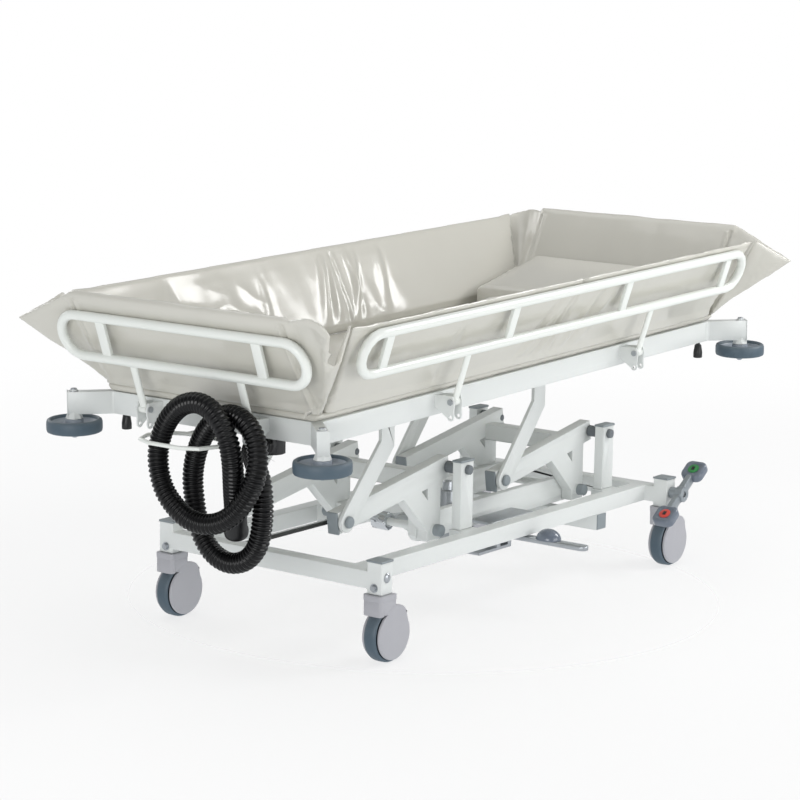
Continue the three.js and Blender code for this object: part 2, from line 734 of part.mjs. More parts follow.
const tie = plateXZ(capsule(tieX0, tieZ, tieX1, tieZ, brakeBarHigh / 2),
  brakeBarY - brakeBarThick / 2, brakeBarY + brakeBarThick / 2)
  .subtract(rod('y', brakePinR + seatGap, brakeBarY - brakeBarThick, brakeBarY + brakeBarThick,
    tieX0, tieZ, roundSides))
  .subtract(rod('y', brakePinR + seatGap, brakeBarY - brakeBarThick, brakeBarY + brakeBarThick,
    tieX1, tieZ, roundSides));
node('brake_tie_bar', tie, finish.paint);

// The rocker lies level in its own group and the group is turned to the braked position.
const rockerGroup = new THREE.Group();
rockerGroup.name = 'brake_rocker_group';
rockerGroup.position.set(postX, 0, brakeZ);
rockerGroup.rotation.y = -THREE.MathUtils.degToRad(rockerRestDeg);
assembly.add(rockerGroup);
const armHalf = rockerArm - brakePadSize / 2 + capRise;
const hexR = hexAcross / Math.sqrt(3);
const hexBore = new THREE.CylinderGeometry(hexR + seatGap, hexR + seatGap, rockerBossEnd, 6);
hexBore.rotateY(THREE.MathUtils.degToRad(rockerRestDeg));
hexBore.translate(0, -rockerBossEnd, 0);
const rocker = plateXZ(capsule(-armHalf, 0, armHalf, 0, rockerHubR * 0.62),
  -rockerInnerY - rockerThick, -rockerInnerY)
  .add(rod('y', rockerHubR, -rockerBossEnd, -rockerInnerY, 0, 0))
  .add(rod('y', bushR, -rockerInnerY, -halfWidth - seatGap, 0, 0))
  .subtract(solid(hexBore.clone()))
  .subtract(rod('y', hexR + seatGap, -rockerInnerY - rockerThick, -halfWidth, 0, 0));
node('brake_rocker', rocker, finish.pedal, rockerGroup);
const padY0 = -rockerInnerY - rockerThick / 2;
const padCorner = brakePadSize * 0.3;
const padHalf = brakePadSize / 2;
function roundedSquare(half, corner) {
  const s = new THREE.Shape();
  s.absarc(half - corner, half - corner, corner, 0, Math.PI / 2, false);
  s.absarc(corner - half, half - corner, corner, Math.PI / 2, Math.PI, false);
  s.absarc(corner - half, corner - half, corner, Math.PI, Math.PI * 1.5, false);
  s.absarc(half - corner, corner - half, corner, Math.PI * 1.5, Math.PI * 2, false);
  return s;
}
for (const [name, sx] of [['brake_pad_on', -1], ['brake_pad_off', 1]]) {
  const cx = sx * rockerArm;
  const bevel = capRise;
  const g = new THREE.ExtrudeGeometry(roundedSquare(padHalf - bevel, padCorner), {
    depth: brakePadThick - 2 * bevel, bevelEnabled: true, bevelSize: bevel, bevelThickness: bevel,
    bevelSegments: 1, curveSegments: 2,
  });
  g.translate(cx, padY0, -brakePadThick / 2 + bevel);
  const socket = box(-armHalf - hexR * 2, armHalf + hexR * 2, -rockerInnerY - rockerThick - seatGap,
    -rockerInnerY + seatGap, -rockerHubR * 0.62 - seatGap, rockerHubR * 0.62 + seatGap);
  node(name, solid(g).subtract(socket), finish.pedal, rockerGroup);
}

// Castors: stem and head in the shell, two cheeks, the wheel on its axle.
const wheelProfile = [
  [axleR + seatGap, -wheelWide / 2], [wheelHubR, -wheelWide / 2], [wheelR * 0.74, -wheelWide / 4],
  [wheelR * 0.9, -wheelWide / 2], [wheelR, -wheelWide / 5], [wheelR, wheelWide / 5],
  [wheelR * 0.9, wheelWide / 2], [wheelR * 0.74, wheelWide / 4], [wheelHubR, wheelWide / 2],
  [axleR + seatGap, wheelWide / 2], [axleR + seatGap, -wheelWide / 2],
];
const headBottom = castorHeight - castorHeadLong;
const cheekInner = wheelWide / 2 + forkGap;
const cheekOuter = cheekInner + forkCheek;
function castorShell() {
  const discR = wheelR * discShare;
  const archR = wheelR + forkGap * 3;
  const blockFront = -castorHeadR;
  const stem = turned('z', [
    [0, castorHeight - capRise], [castorHeadR - capRise, castorHeight - capRise],
    [castorHeadR - capRise, castorHeight], [castorStemR, castorHeight],
    [castorStemR, castorHeight + castorStemLong], [0, castorHeight + castorStemLong],
  ], 0, 0, dishSides);
  const neck = new THREE.Shape();
  neck.moveTo(blockFront, castorHeight - capRise / 2);
  neck.lineTo(blockFront, castorHeight - castorBlockLong);
  neck.lineTo(castorTrail - discR, wheelR);
  neck.lineTo(castorTrail + discR, wheelR);
  neck.lineTo(castorTrail + discR * 0.8, wheelR + discR * 0.72);
  neck.lineTo(castorHeadR, headBottom + capRise);
  neck.lineTo(castorHeadR - capLip, castorHeight - capRise / 2);
  const wheelSpace = rod('y', archR, -cheekInner, cheekInner, castorTrail, wheelR);
  const discs = rod('y', discR, -cheekOuter, cheekOuter, castorTrail, wheelR, wheelSides);
  return stem.add(plateXZ(neck, -cheekOuter, cheekOuter)).add(discs).subtract(wheelSpace)
    .add(rod('y', axleR, -cheekOuter + forkGap, cheekOuter - forkGap, castorTrail, wheelR, dishSides));
}
for (const [endName, sx] of ends) {
  for (const [sideName, sy] of sides) {
    const at = [sx * postX, sy * postY, 0];
    node(`castor_fork_${endName}_${sideName}`, castorShell(), finish.shell, assembly, at);
    node(`castor_wheel_${endName}_${sideName}`,
      turned('y', wheelProfile, castorTrail, wheelR, wheelSides), finish.tyre, assembly, at);
  }
}

// Top frame.
const halfTop = topLength / 2;
const halfTopY = topWidth / 2;
const railInY = halfTopY - topRailWide;
const leanRad = THREE.MathUtils.degToRad(guardLeanDeg);

// One hinge bracket: two ears that hold a guard leg, cut as one outline in the plane across the rail.
function earOutline(railFace, pivot) {
  const reach = pivot - railFace;
  const s = new THREE.Shape();
  s.moveTo(railFace - topRailWide / 2, guardPivotZ + earTop - capRise);
  s.lineTo(railFace + reach * 0.5, guardPivotZ + earTop);
  s.lineTo(pivot + earTailR * 0.6, guardPivotZ + earTop);
  s.quadraticCurveTo(pivot + earTailR * 1.7, guardPivotZ, pivot + earTailR * 0.9,
    guardPivotZ - earTail * 0.6);
  s.absarc(pivot, guardPivotZ - earTail, earTailR, 0, -Math.PI * 0.9, true);
  s.lineTo(railFace + capRise, guardPivotZ - earTail * 0.5);
  s.lineTo(railFace - topRailWide / 2, guardPivotZ - earTail * 0.5);
  return s;
}

function mirrorY(manifold) {
  return manifold.mirror([0, 1, 0]);
}

function mirrorX(manifold) {
  return manifold.mirror([1, 0, 0]);
}

function bracketPair(railFace, pivot, at) {
  let pair = null;
  for (const e of [-1, 1]) {
    const x0 = at + e * (earGap + earThick / 2) - earThick / 2;
    const ear = plateYZ(earOutline(railFace, pivot), x0, x0 + earThick, 2)
      .subtract(rod('x', guardPinR, x0 - cutOver, x0 + earThick + cutOver, pivot,
        guardPivotZ - earTail, 6));
    pair = pair ? pair.add(ear) : ear;
  }
  return pair.add(rod('x', guardPinR, at - earGap - earThick / 2, at + earGap + earThick / 2,
    pivot, guardPivotZ, dishSides));
}

const sideRailHalf = halfTop - topRailWide - seatGap;
const knobAtX = halfTop - topRailWide * 1.4;
function sideRail() {
  return box(-sideRailHalf, sideRailHalf, railInY, halfTopY, -topRailHigh, 0)
    .add(bracketPair(halfTopY, sideGuardPivotY, sideLegX))
    .add(bracketPair(halfTopY, sideGuardPivotY, -sideLegX));
}
const knobStemR = 5;
const knobStemIn = 22;
const knobY = halfTopY - topRailWide / 2;
const knobBore = (sx) => rod('z', knobStemR + seatGap, -topRailHigh - cutOver,
  -topRailHigh + knobStemIn + seatGap, sx * knobAtX, knobY, roundSides);
node('top_rail_near', mirrorY(sideRail().subtract(knobBore(1))), finish.paint, topGroup);
node('top_rail_far', sideRail().subtract(knobBore(-1)), finish.paint, topGroup);

// End rail with its two diagonal outriggers, the bumper bolts and the guard brackets.
const wheelTop = -bumperDropZ + bumperWide / 2;
function endRail() {
  let rail = box(halfTop - topRailWide, halfTop, -halfTopY, halfTopY, -topRailHigh, 0);
  const half = outriggerWide / 2;
  for (const [, sy] of sides) {
    const bar = plateXY(capsule(halfTop - topRailWide / 2, sy * (halfTopY - topRailWide / 2),
      bumperX, sy * bumperY, half), -topRailHigh, 0);
    const nutTop = -bumperDropZ - bumperWide / 2 - seatGap;
    const bolt = turned('z', [
      [0, nutTop - pinHeadLong], [pinCapR, nutTop - pinHeadLong], [pinCapR, nutTop], [pinR, nutTop],
      [pinR, wheelTop + seatGap], [bumperHubR, wheelTop + seatGap], [bumperHubR * 0.7, cutOver - topRailHigh],
      [0, cutOver - topRailHigh],
    ], bumperX, sy * bumperY, trimSides).add(rod('z', pinCapR * 0.8, -cutOver, capRise, bumperX, sy * bumperY, 6));
    rail = rail.add(bar).add(bolt);
  }
  for (const y of [-endLegY, endLegY]) {
    const pair = bracketPair(halfTop, endGuardPivotX, y);
    rail = rail.add(pair.rotate([0, 0, -90]).mirror([0, 1, 0]));
  }
  return rail;
}
node('top_end_head', endRail(), finish.paint, topGroup);
node('top_end_drain', mirrorX(endRail()), finish.paint, topGroup);

// Cross tube with its two bent hanger plates, in the level frame because the arms hold them.
const tiltDeg = THREE.MathUtils.radToDeg(tiltRad);
masts.forEach((mast, i) => {
  const tx = mast - hangerBackX;
  const pinAt = [mast - armRunX, pivotZ - armDropZ];
  const crossX = tx / Math.cos(tiltRad);
  let frame = box(crossX - hangerWide / 2, crossX + hangerWide / 2, -railInY + seatGap,
    railInY - seatGap, -topRailHigh, -capRise).rotate([0, -tiltDeg, 0]).translate([0, 0, topZ]);
  const weldZ = topZ + tx * Math.tan(tiltRad) - topRailHigh + hangerWeld;
  const plate = bentBar([[tx, weldZ], [tx, hangerBendZ + i * hangerWide / 4], pinAt], hangerWide / 2);
  const play = i === 0 ? seatGap : linkOpenPlay;
  for (const [, sy] of sides) {
    const y0 = Math.min(sy * hangerInnerY, sy * (hangerInnerY + hangerThick));
    frame = frame.add(plateXZ(plate, y0, y0 + hangerThick, 6)
      .subtract(rod('y', pinR + play, y0 - cutOver, y0 + hangerThick + cutOver, pinAt[0], pinAt[1])));
  }
  node(`hanger_frame_${mastNames[i]}`, frame, finish.paint);
});

// Bumper wheels and pull knobs.
const bumperLow = -bumperWide / 2;
const bumperProfile = [
  [pinR + seatGap, bumperLow], [bumperR * 0.9, bumperLow], [bumperR, bumperLow * 0.6],
  [bumperR, -bumperLow * 0.6], [bumperR * 0.9, -bumperLow],
  [bumperR * 0.6, -bumperLow * 0.2], [bumperHubR, -bumperLow], [pinR + seatGap, -bumperLow],
  [pinR + seatGap, bumperLow],
];
for (const [endName, sx] of ends) {
  for (const [sideName, sy] of sides) {
    node(`bumper_wheel_${endName}_${sideName}`, turned('z', bumperProfile, 0, 0, wheelSides), finish.tyre,
      topGroup, [sx * bumperX, sy * bumperY, -bumperDropZ]);
  }
}
const knobNeck = 8;
const knobLong = 34;
const knobR = 11.5;
function pullKnob(sx, sy) {
  const under = -topRailHigh;
  return turned('z', [
    [0, under - knobNeck - knobLong], [knobR, under - knobNeck - knobLong],
    [knobR, under - knobNeck - knobLong * 0.6], [knobR * 0.72, under - knobNeck],
    [knobStemR, under - knobNeck], [knobStemR, under + knobStemIn], [0, under + knobStemIn],
  ], sx * knobAtX, sy * knobY, roundSides);
}
node('pull_knob_near', pullKnob(1, -1), finish.black, topGroup);
node('pull_knob_far', pullKnob(-1, 1), finish.black, topGroup);

// Guard rails: a round-ended loop of tube with flat bars and two hinged legs.
function guardRail(half, lowV, highV, legAt, barShares) {
  let rail = stadiumTube(half, lowV, highV, guardTubeR);
  for (const share of barShares) {
    for (const s of [-1, 1]) {
      const x = s * share * half;
      rail = rail.add(box(x - barWide / 2, x + barWide / 2, -barThick / 2, barThick / 2, lowV, highV));
    }
  }
  for (const s of [-1, 1]) {
    const x = s * legAt;
    const leg = plateYZ(capsule(0, 0, 0, lowV, barThick / 2), x - legWide / 2, x + legWide / 2, 4)
      .add(rod('x', legEyeR, x - legWide / 2, x + legWide / 2, 0, 0))
      .subtract(rod('x', guardPinR + seatGap, x - legWide, x + legWide, 0, 0, roundSides));
    rail = rail.add(leg);
  }
  return rail;
}
for (const [sideName, sy] of sides) {
  const mesh = node(`guard_rail_${sideName}`, guardRail(sideGuardHalf, guardLowV, guardTopV, sideLegX,
    sideBarShares), finish.white, topGroup, [0, sy * sideGuardPivotY, guardPivotZ]);
  mesh.rotation.x = -sy * leanRad;
}
for (const [endName, sx] of ends) {
  const mesh = node(`guard_rail_${endName}`, guardRail(endGuardHalf, endLowV, endTopV, endLegY,
    endBarShares), finish.white, topGroup, [sx * endGuardPivotX, 0, guardPivotZ]);
  mesh.rotation.y = sx * leanRad;
  mesh.rotation.z = Math.PI / 2;
}

// Liner: floor pad, four walls that lean on the guard rails, corner ears, pillow.
const floorTop = seatGap + floorThick;
const foldZ = floorTop + seatGap;
const foldX = halfTop - capLip;
const foldY = halfTopY + capLip;
const floorHalfX = foldX - seatGap;
node('liner_floor', paddedPanel([
  [-floorHalfX, foldY, seatGap], [floorHalfX, foldY, seatGap],
  [floorHalfX, -foldY, seatGap], [-floorHalfX, -foldY, seatGap],
], [0, 0, 1], floorThick - crown * 0.6, crown * 0.5, {}, 12, 4), finish.vinyl, topGroup);

// The lean that lays a wall from its fold line against the guard rail's top tube.
function wallLean(fold, pivot, topV) {
  const dx = pivot + topV * Math.sin(leanRad) - fold;
  const dz = guardPivotZ + topV * Math.cos(leanRad) - foldZ;
  return Math.atan2(dx, dz) - Math.asin((guardTubeR + seatGap * 2) / Math.hypot(dx, dz));
}
const sideLean = wallLean(foldY, sideGuardPivotY, guardTopV);
const endLean = wallLean(foldX, endGuardPivotX, endTopV);
const sideTopY = foldY + (sideWallTop - foldZ) * Math.tan(sideLean);
const endTopX = foldX + (endWallTop - foldZ) * Math.tan(endLean);
const sideEndLow = foldX - wallThick - capRise;
const sideEndHigh = sideEndLow + wallThick * 2;
const farWall = paddedPanel([
  [sideEndLow, foldY, foldZ], [-sideEndLow, foldY, foldZ],
  [-sideEndHigh, sideTopY, sideWallTop], [sideEndHigh, sideTopY, sideWallTop],
], [0, -Math.cos(sideLean), Math.sin(sideLean)], wallThick - crown, crown, {}, 12, 5);
node('liner_wall_far', farWall, finish.vinyl, topGroup);
node('liner_wall_near', mirrorY(farWall), finish.vinyl, topGroup);

const endLowY = halfTopY - capRise;
const endHighY = halfTopY + earThin;
const endInward = [-Math.cos(endLean), 0, Math.sin(endLean)];
function ear(sy) {
  const root = [sideEndLow + wallThick * 0.75, foldY + capRise, foldZ + capLip];
  const endTop = [endTopX - capLip, endHighY + capLip, endWallTop - capLip];
  const tip = [endTopX - earTipBack, sideTopY + earTipOut, earTipZ];
  const sideTop = [sideEndHigh + capRise, sideTopY, sideWallTop - capLip];
  const slab = (p, q, r, flip) => {
    const [a, b, c] = [p, q, r].map((v) => new THREE.Vector3(...v));
    const n = b.clone().sub(a).cross(c.clone().sub(a)).normalize().multiplyScalar(flip * earThin);
    const inner = [a, b, c].map((v) => v.clone().add(n).toArray());
    return hull([p, q, r, ...inner]);
  };
  const one = slab(root, endTop, tip, 1).add(slab(root, sideTop, tip, -1));
  return sy > 0 ? one : mirrorY(one);
}
const headWall = paddedPanel([
  [foldX, -endLowY, foldZ], [foldX, endLowY, foldZ],
  [endTopX, endHighY, endWallTop], [endTopX, -endHighY, endWallTop],
], endInward, wallThick - crown, crown, {}, 10, 5);
const earBridge = (sy) => {
  const low = [foldX, sy * (endLowY - cutOver), foldZ + capLip];
  const high = [endTopX - capRise, sy * (endHighY - cutOver), endWallTop - capRise * 2];
  const root = [sideEndLow + wallThick * 0.8, sy * (foldY + cutOver), foldZ + capRise];
  const top = [endTopX - capRise, sy * (endHighY + cutOver), endWallTop - capRise * 2];
  return [low, high, root, top];
};
function endPiece() {
  let piece = headWall;
  for (const [, sy] of sides) {
    const seam = earBridge(sy);
    const back = seam.map(([x, y, z]) => [x - earThin * 0.8, y, z + earThin * 0.4]);
    piece = piece.add(ear(sy)).add(hull([...seam, ...back]));
  }
  return piece;
}
node('liner_end_head', endPiece(), finish.vinyl, topGroup);
node('liner_end_drain', mirrorX(endPiece()), finish.vinyl, topGroup);

const pillowZ = floorTop - crown * 0.1 + seatGap;
const pillowLow = pillowBackX - wallThick;
node('liner_pillow', paddedPanel([
  [pillowFrontX, -pillowHalfY, pillowZ], [pillowFrontX, pillowHalfY, pillowZ],
  [pillowLow, pillowHalfY, pillowZ], [pillowLow, -pillowHalfY, pillowZ],
], [0, 0, 1], pillowFrontZ - pillowZ, crown, {
  inward: [Math.tan(endLean) * 0.84, 0, 1], thick: pillowBackZ - pillowZ,
}, 10, 6), finish.vinyl, topGroup);

// Drain outlet, hose holder, hose and cuff.
const hoseCurve = new THREE.CatmullRomCurve3(
  hoseRoute.map(([x, y, z]) => new THREE.Vector3(x, y, z)), false, 'centripetal');
const hoseLength = hoseCurve.getLength();
const hoseStart = hoseCurve.getPointAt(0);
const hoseOut = hoseCurve.getTangentAt(0);

// The outlet hangs from the floor pad, with a spigot that the hose's first stretch meets square.
function aimed(manifold, at, direction) {
  const q = new THREE.Quaternion().setFromUnitVectors(new THREE.Vector3(0, 0, 1), direction);
  const e = new THREE.Euler().setFromQuaternion(q, 'ZYX');
  return manifold.rotate([e.x, e.y, e.z].map(THREE.MathUtils.radToDeg)).translate(at.toArray());
}
const spigotBack = hoseStart.clone().addScaledVector(hoseOut, -outletR);
const outletTop = topZ + (spigotBack.x - outletR) * Math.sin(tiltRad);
const outlet = rod('z', outletR, hoseStart.z - hoseR, outletTop, spigotBack.x, spigotBack.y)
  .add(aimed(rod('z', hoseR, 0, outletR - seatGap, 0, 0), spigotBack, hoseOut));
node('drain_outlet', outlet, finish.black);

// Ribs are pairs of rings along the curve, the bore is a ring every few ribs, joined at both ends.
function ribbedHose() {
  const rings = [];
  const frames = hoseCurve.computeFrenetFrames(hoseRibs * 2, false);
  const ring = (i, count, radius) => {
    const centre = hoseCurve.getPointAt(i / count);
    const f = Math.round((i / count) * hoseRibs * 2);
    const points = [];
    for (let k = 0; k < hoseSides; k += 1) {
      const a = (k / hoseSides) * Math.PI * 2;
      points.push(centre.clone()
        .addScaledVector(frames.normals[f], radius * Math.cos(a))
        .addScaledVector(frames.binormals[f], radius * Math.sin(a)));
    }
    return points;
  };
  for (let i = 0; i <= hoseRibs * 2; i += 1) {
    rings.push(ring(i, hoseRibs * 2, i % 2 === 0 ? hoseR - hoseRibDepth : hoseR));
  }
  for (let i = hoseRibs; i >= 0; i -= hoseBoreEvery) rings.push(ring(i, hoseRibs, hoseBoreR));
  const positions = rings.flat().flatMap((p) => p.toArray());
  const index = [];
  for (let r = 0; r < rings.length; r += 1) {
    const next = (r + 1) % rings.length;
    for (let k = 0; k < hoseSides; k += 1) {
      const k2 = (k + 1) % hoseSides;
      const [p, q, s, t] = [r * hoseSides + k, r * hoseSides + k2, next * hoseSides + k2, next * hoseSides + k];
      index.push(p, q, s, p, s, t);
    }
  }
  const g = new THREE.BufferGeometry();
  g.setAttribute('position', new THREE.Float32BufferAttribute(positions, 3));
  g.setIndex(index);
  return solid(g);
}
node('drain_hose', ribbedHose(), finish.black);

// The least gap from the hose to itself, measured on points along its centre line.
const gapPoints = hoseCurve.getSpacedPoints(hoseRibs * 4);
const gapStep = hoseLength / (hoseRibs * 4);
let leastGap = Infinity;
for (let i = 0; i < gapPoints.length; i += 1) {
  for (let j = i + Math.ceil((hoseR * 5) / gapStep); j < gapPoints.length; j += 1) {
    leastGap = Math.min(leastGap, gapPoints[i].distanceTo(gapPoints[j]) - hoseR * 2);
  }
}
console.log(`hose ${hoseLength.toFixed(0)} mm long, least gap to itself ${leastGap.toFixed(1)} mm`);

const hoseEnd = hoseCurve.getPointAt(1);
const hoseIn = hoseCurve.getTangentAt(1);
const cuff = turned('z', [
  [hoseBoreR, seatGap], [cuffR, seatGap], [cuffR, cuffLong * 0.8], [cuffR + capRise / 2, cuffLong],
  [hoseBoreR, cuffLong], [hoseBoreR, seatGap],
], 0, 0, 16);
node('hose_cuff', aimed(cuff, hoseEnd, hoseIn), finish.black);

// A flat oval of rod round the hose, on two arms from under the drain end's rail.
const ringMidX = (ringFront + ringBack) / 2;
const holderZ = (ringZ - topZ - ringMidX * Math.sin(tiltRad)) / Math.cos(tiltRad);
const ringMidY = (ringNear + ringFar) / 2;
const ringHalf = (ringFar - ringNear) / 2;
const ringDeep = ringBack - ringFront - 2 * ringBarR;
let holder = stadiumTube(ringHalf, 0, ringDeep, ringBarR, 4, 6).rotate([-90, 0, 90])
  .translate([ringBack - ringBarR, ringMidY, holderZ]);
const armY = ringHalf - ringDeep / 2 - ringBarR * 2;
for (const [, sy] of sides) {
  const y = ringMidY + sy * armY;
  holder = holder
    .add(rod('x', ringBarR, ringBack - ringBarR, -halfTop + topRailWide / 2, y, holderZ, trimSides))
    .add(box(-halfTop + capRise, -halfTop + topRailWide - capRise, y - ringBarR * 2, y + ringBarR * 2,
      holderZ - ringBarR, -topRailHigh - seatGap));
}
node('hose_holder', holder, finish.white, topGroup);

export default assembly;
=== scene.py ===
# %% [markdown]
# # Shower trolley
# A padded waterproof tub lies on a tilted top frame. A parallel linkage with a foot-pumped ram carries it
# on a tubular base with four castors. This lesson dresses the fixed CAD frame: each solid keeps its place,
# and gets rounded edges, a real finish, and, where it is soft, a shape that a hand could press into.

# %% Load the frame
import bpy
import bmesh
import itertools
import math
import numpy as np
from mathutils import Matrix, Vector, noise


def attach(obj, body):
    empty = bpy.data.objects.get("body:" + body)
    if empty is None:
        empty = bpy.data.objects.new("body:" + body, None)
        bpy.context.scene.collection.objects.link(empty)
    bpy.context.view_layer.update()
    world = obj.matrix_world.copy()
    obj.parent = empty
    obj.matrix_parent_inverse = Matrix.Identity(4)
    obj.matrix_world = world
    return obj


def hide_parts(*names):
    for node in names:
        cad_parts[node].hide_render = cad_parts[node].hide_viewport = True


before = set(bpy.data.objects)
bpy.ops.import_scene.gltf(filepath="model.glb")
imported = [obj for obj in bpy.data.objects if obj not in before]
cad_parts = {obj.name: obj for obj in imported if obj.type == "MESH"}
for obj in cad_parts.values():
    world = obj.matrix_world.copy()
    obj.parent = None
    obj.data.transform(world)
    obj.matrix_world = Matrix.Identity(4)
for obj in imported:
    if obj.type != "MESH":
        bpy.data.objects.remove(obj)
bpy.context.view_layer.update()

# %% [markdown]
# The top frame is tilted so that water runs to the drain. Its pieces are easiest to draw level, in
# millimetres, and then to lay on the slope, so this cell keeps the one matrix that does it. It also
# names the places that several pieces share, as they stand in the CAD.

# %% The slope and small helpers
TILT = 0.0288
TOP_HEIGHT = 0.5844
SHIFT = 0.01994
ON_TOP = Matrix.Translation((SHIFT, 0, TOP_HEIGHT)) @ Matrix.Rotation(-TILT, 4, "Y")
ON_BASE = Matrix.Translation((SHIFT, 0, 0))
MM = Matrix.Scale(0.001, 4)
POST_X, POST_Y = 595, 301
MAST_XS, MAST_Y = (-137.2, 474.8), 193
RAIL_END_X = 813
BUMPER_X, BUMPER_Y = 865, 350.5
SIDE_PIVOT_Y, END_PIVOT_X, GUARD_PIVOT_Z = 338, 854, -17
SIDE_LEG_X, END_LEG_Y = 382, 150
SIDES = (("near", -1), ("far", 1))
ENDS = (("drain", -1), ("head", 1))
CORNERS = [(f"{end}_{side}", sx, sy) for end, sx in ENDS for side, sy in SIDES]
TOP_MM = ON_TOP @ MM
BASE_MM = ON_BASE @ MM


def top_point(x, y, z):
    return ON_TOP @ Vector((x / 1000, y / 1000, z / 1000))


def base_point(x, y, z):
    return ON_BASE @ Vector((x / 1000, y / 1000, z / 1000))


def new_object(name, data):
    thing = bpy.data.objects.new(name, data)
    bpy.context.scene.collection.objects.link(thing)
    return thing


def mesh_object(name, mesh):
    data = bpy.data.meshes.new(name)
    mesh.to_mesh(data)
    mesh.free()
    return new_object(name, data)


print("drain end of the rails", tuple(round(v, 3) for v in top_point(-RAIL_END_X, 0, 0)))

# %% [markdown]
# The camera comes first. It stands low and to the left, far away with a long lens, which keeps the rails
# nearly parallel. A small shift moves the picture's centre, as a view camera does.

# %% Camera
PICTURE = 800
SENSOR_MM = 36
FOCAL_PX = 2548.59
CENTRE_PX = (393.105, 398.443)
CAMERA_AT = (-4.883009 + SHIFT, -3.531386, 1.521176)
yaw, pitch, roll = math.radians(-53.2402), math.radians(9.8793), math.radians(1.0347)
back = Vector((math.sin(yaw) * math.cos(pitch), -math.cos(yaw) * math.cos(pitch), math.sin(pitch)))
right = (-back).cross(Vector((0, 0, 1))).normalized()
up = right.cross(-back)
right, up = (right * math.cos(roll) + up * math.sin(roll), up * math.cos(roll) - right * math.sin(roll))
lens = bpy.data.cameras.new("view_lens")
lens.lens = SENSOR_MM * FOCAL_PX / PICTURE
lens.shift_x = (PICTURE / 2 - CENTRE_PX[0]) / PICTURE
lens.shift_y = (CENTRE_PX[1] - PICTURE / 2) / PICTURE
lens.clip_end = 60
camera = new_object("view_camera", lens)
camera.matrix_world = Matrix.Translation(CAMERA_AT) @ Matrix((right, up, back)).transposed().to_4x4()
bpy.context.scene.camera = camera
print("lens", round(lens.lens, 1), "mm")

# %% [markdown]
# A finish on a real product is never one flat colour. Powder coat has a fine orange peel, plastic a faint
# mottle, and dust gathers on faces that look up. Each of these effects is one shader group with named
# inputs, built once here and used by every material with its own values.

# %% Shader groups
MIX_A, MIX_B, MIX_RESULT = 6, 7, 2
WHITE = (1, 1, 1, 1)
SOCKET_KINDS = {1: "NodeSocketFloat", 3: "NodeSocketVector", 4: "NodeSocketColor"}


def new_group(name, inputs, outputs):
    group = bpy.data.node_groups.new(name, "ShaderNodeTree")
    for way, sockets in (("INPUT", inputs), ("OUTPUT", outputs)):
        for label, value in sockets.items():
            kind = SOCKET_KINDS[len(value) if isinstance(value, tuple) else 1]
            socket = group.interface.new_socket(label, in_out=way, socket_type=kind)
            socket.default_value = value
    return group, group.nodes.new("NodeGroupInput"), group.nodes.new("NodeGroupOutput")


def math_node(tree, operation, a, b, clamp=False):
    node = tree.nodes.new("ShaderNodeMath")
    node.operation = operation
    node.use_clamp = clamp
    for socket, value in zip(node.inputs, (a, b)):
        if isinstance(value, (int, float)):
            socket.default_value = value
        else:
            tree.links.new(value, socket)
    return node.outputs[0]


def noise_node(group, gin, detail, scale="Scale"):
    node = group.nodes.new("ShaderNodeTexNoise")
    node.inputs["Detail"].default_value = detail
    group.links.new(gin.outputs["Coordinates"], node.inputs["Vector"])
    group.links.new(gin.outputs[scale], node.inputs["Scale"])
    return node.outputs["Fac"]


def blend_colours(group, gin, gout, factor, second):
    mix = group.nodes.new("ShaderNodeMix")
    mix.data_type = "RGBA"
    group.links.new(factor, mix.inputs["Factor"])
    group.links.new(gin.outputs["Colour"], mix.inputs[MIX_A])
    group.links.new(gin.outputs[second], mix.inputs[MIX_B])
    group.links.new(mix.outputs[MIX_RESULT], gout.inputs["Colour"])


def mottle_group():
    group, gin, gout = new_group(
        "surface_mottle", {"Coordinates": (0, 0, 0), "Colour": WHITE, "Scale": 30.0, "Darkening": 0.06,
                           "Roughness": 0.4, "Roughness Change": 0.08}, {"Colour": WHITE, "Roughness": 0.4})
    centred = math_node(group, "SUBTRACT", noise_node(group, gin, 5), 0.5)
    shade = math_node(group, "MULTIPLY", centred, gin.outputs["Darkening"])
    tint = group.nodes.new("ShaderNodeHueSaturation")
    group.links.new(math_node(group, "ADD", shade, 1.0), tint.inputs["Value"])
    group.links.new(gin.outputs["Colour"], tint.inputs["Color"])
    group.links.new(tint.outputs["Color"], gout.inputs["Colour"])
    rough = math_node(group, "MULTIPLY", centred, gin.outputs["Roughness Change"])
    group.links.new(math_node(group, "ADD", rough, gin.outputs["Roughness"], True), gout.inputs["Roughness"])
    return group


def dust_group():
    group, gin, gout = new_group(
        "settled_dust", {"Coordinates": (0, 0, 0), "Colour": WHITE, "Dust Colour": (0.6, 0.59, 0.56, 1),
                         "Amount": 0.1, "Scale": 12.0}, {"Colour": WHITE})
    split = group.nodes.new("ShaderNodeSeparateXYZ")
    group.links.new(group.nodes.new("ShaderNodeNewGeometry").outputs["Normal"], split.inputs[0])
    upward = math_node(group, "MULTIPLY", split.outputs["Z"], 1.0, True)
    patch = math_node(group, "MULTIPLY", upward, noise_node(group, gin, 6))
    amount = math_node(group, "MULTIPLY", patch, gin.outputs["Amount"], True)
    blend_colours(group, gin, gout, amount, "Dust Colour")
    return group


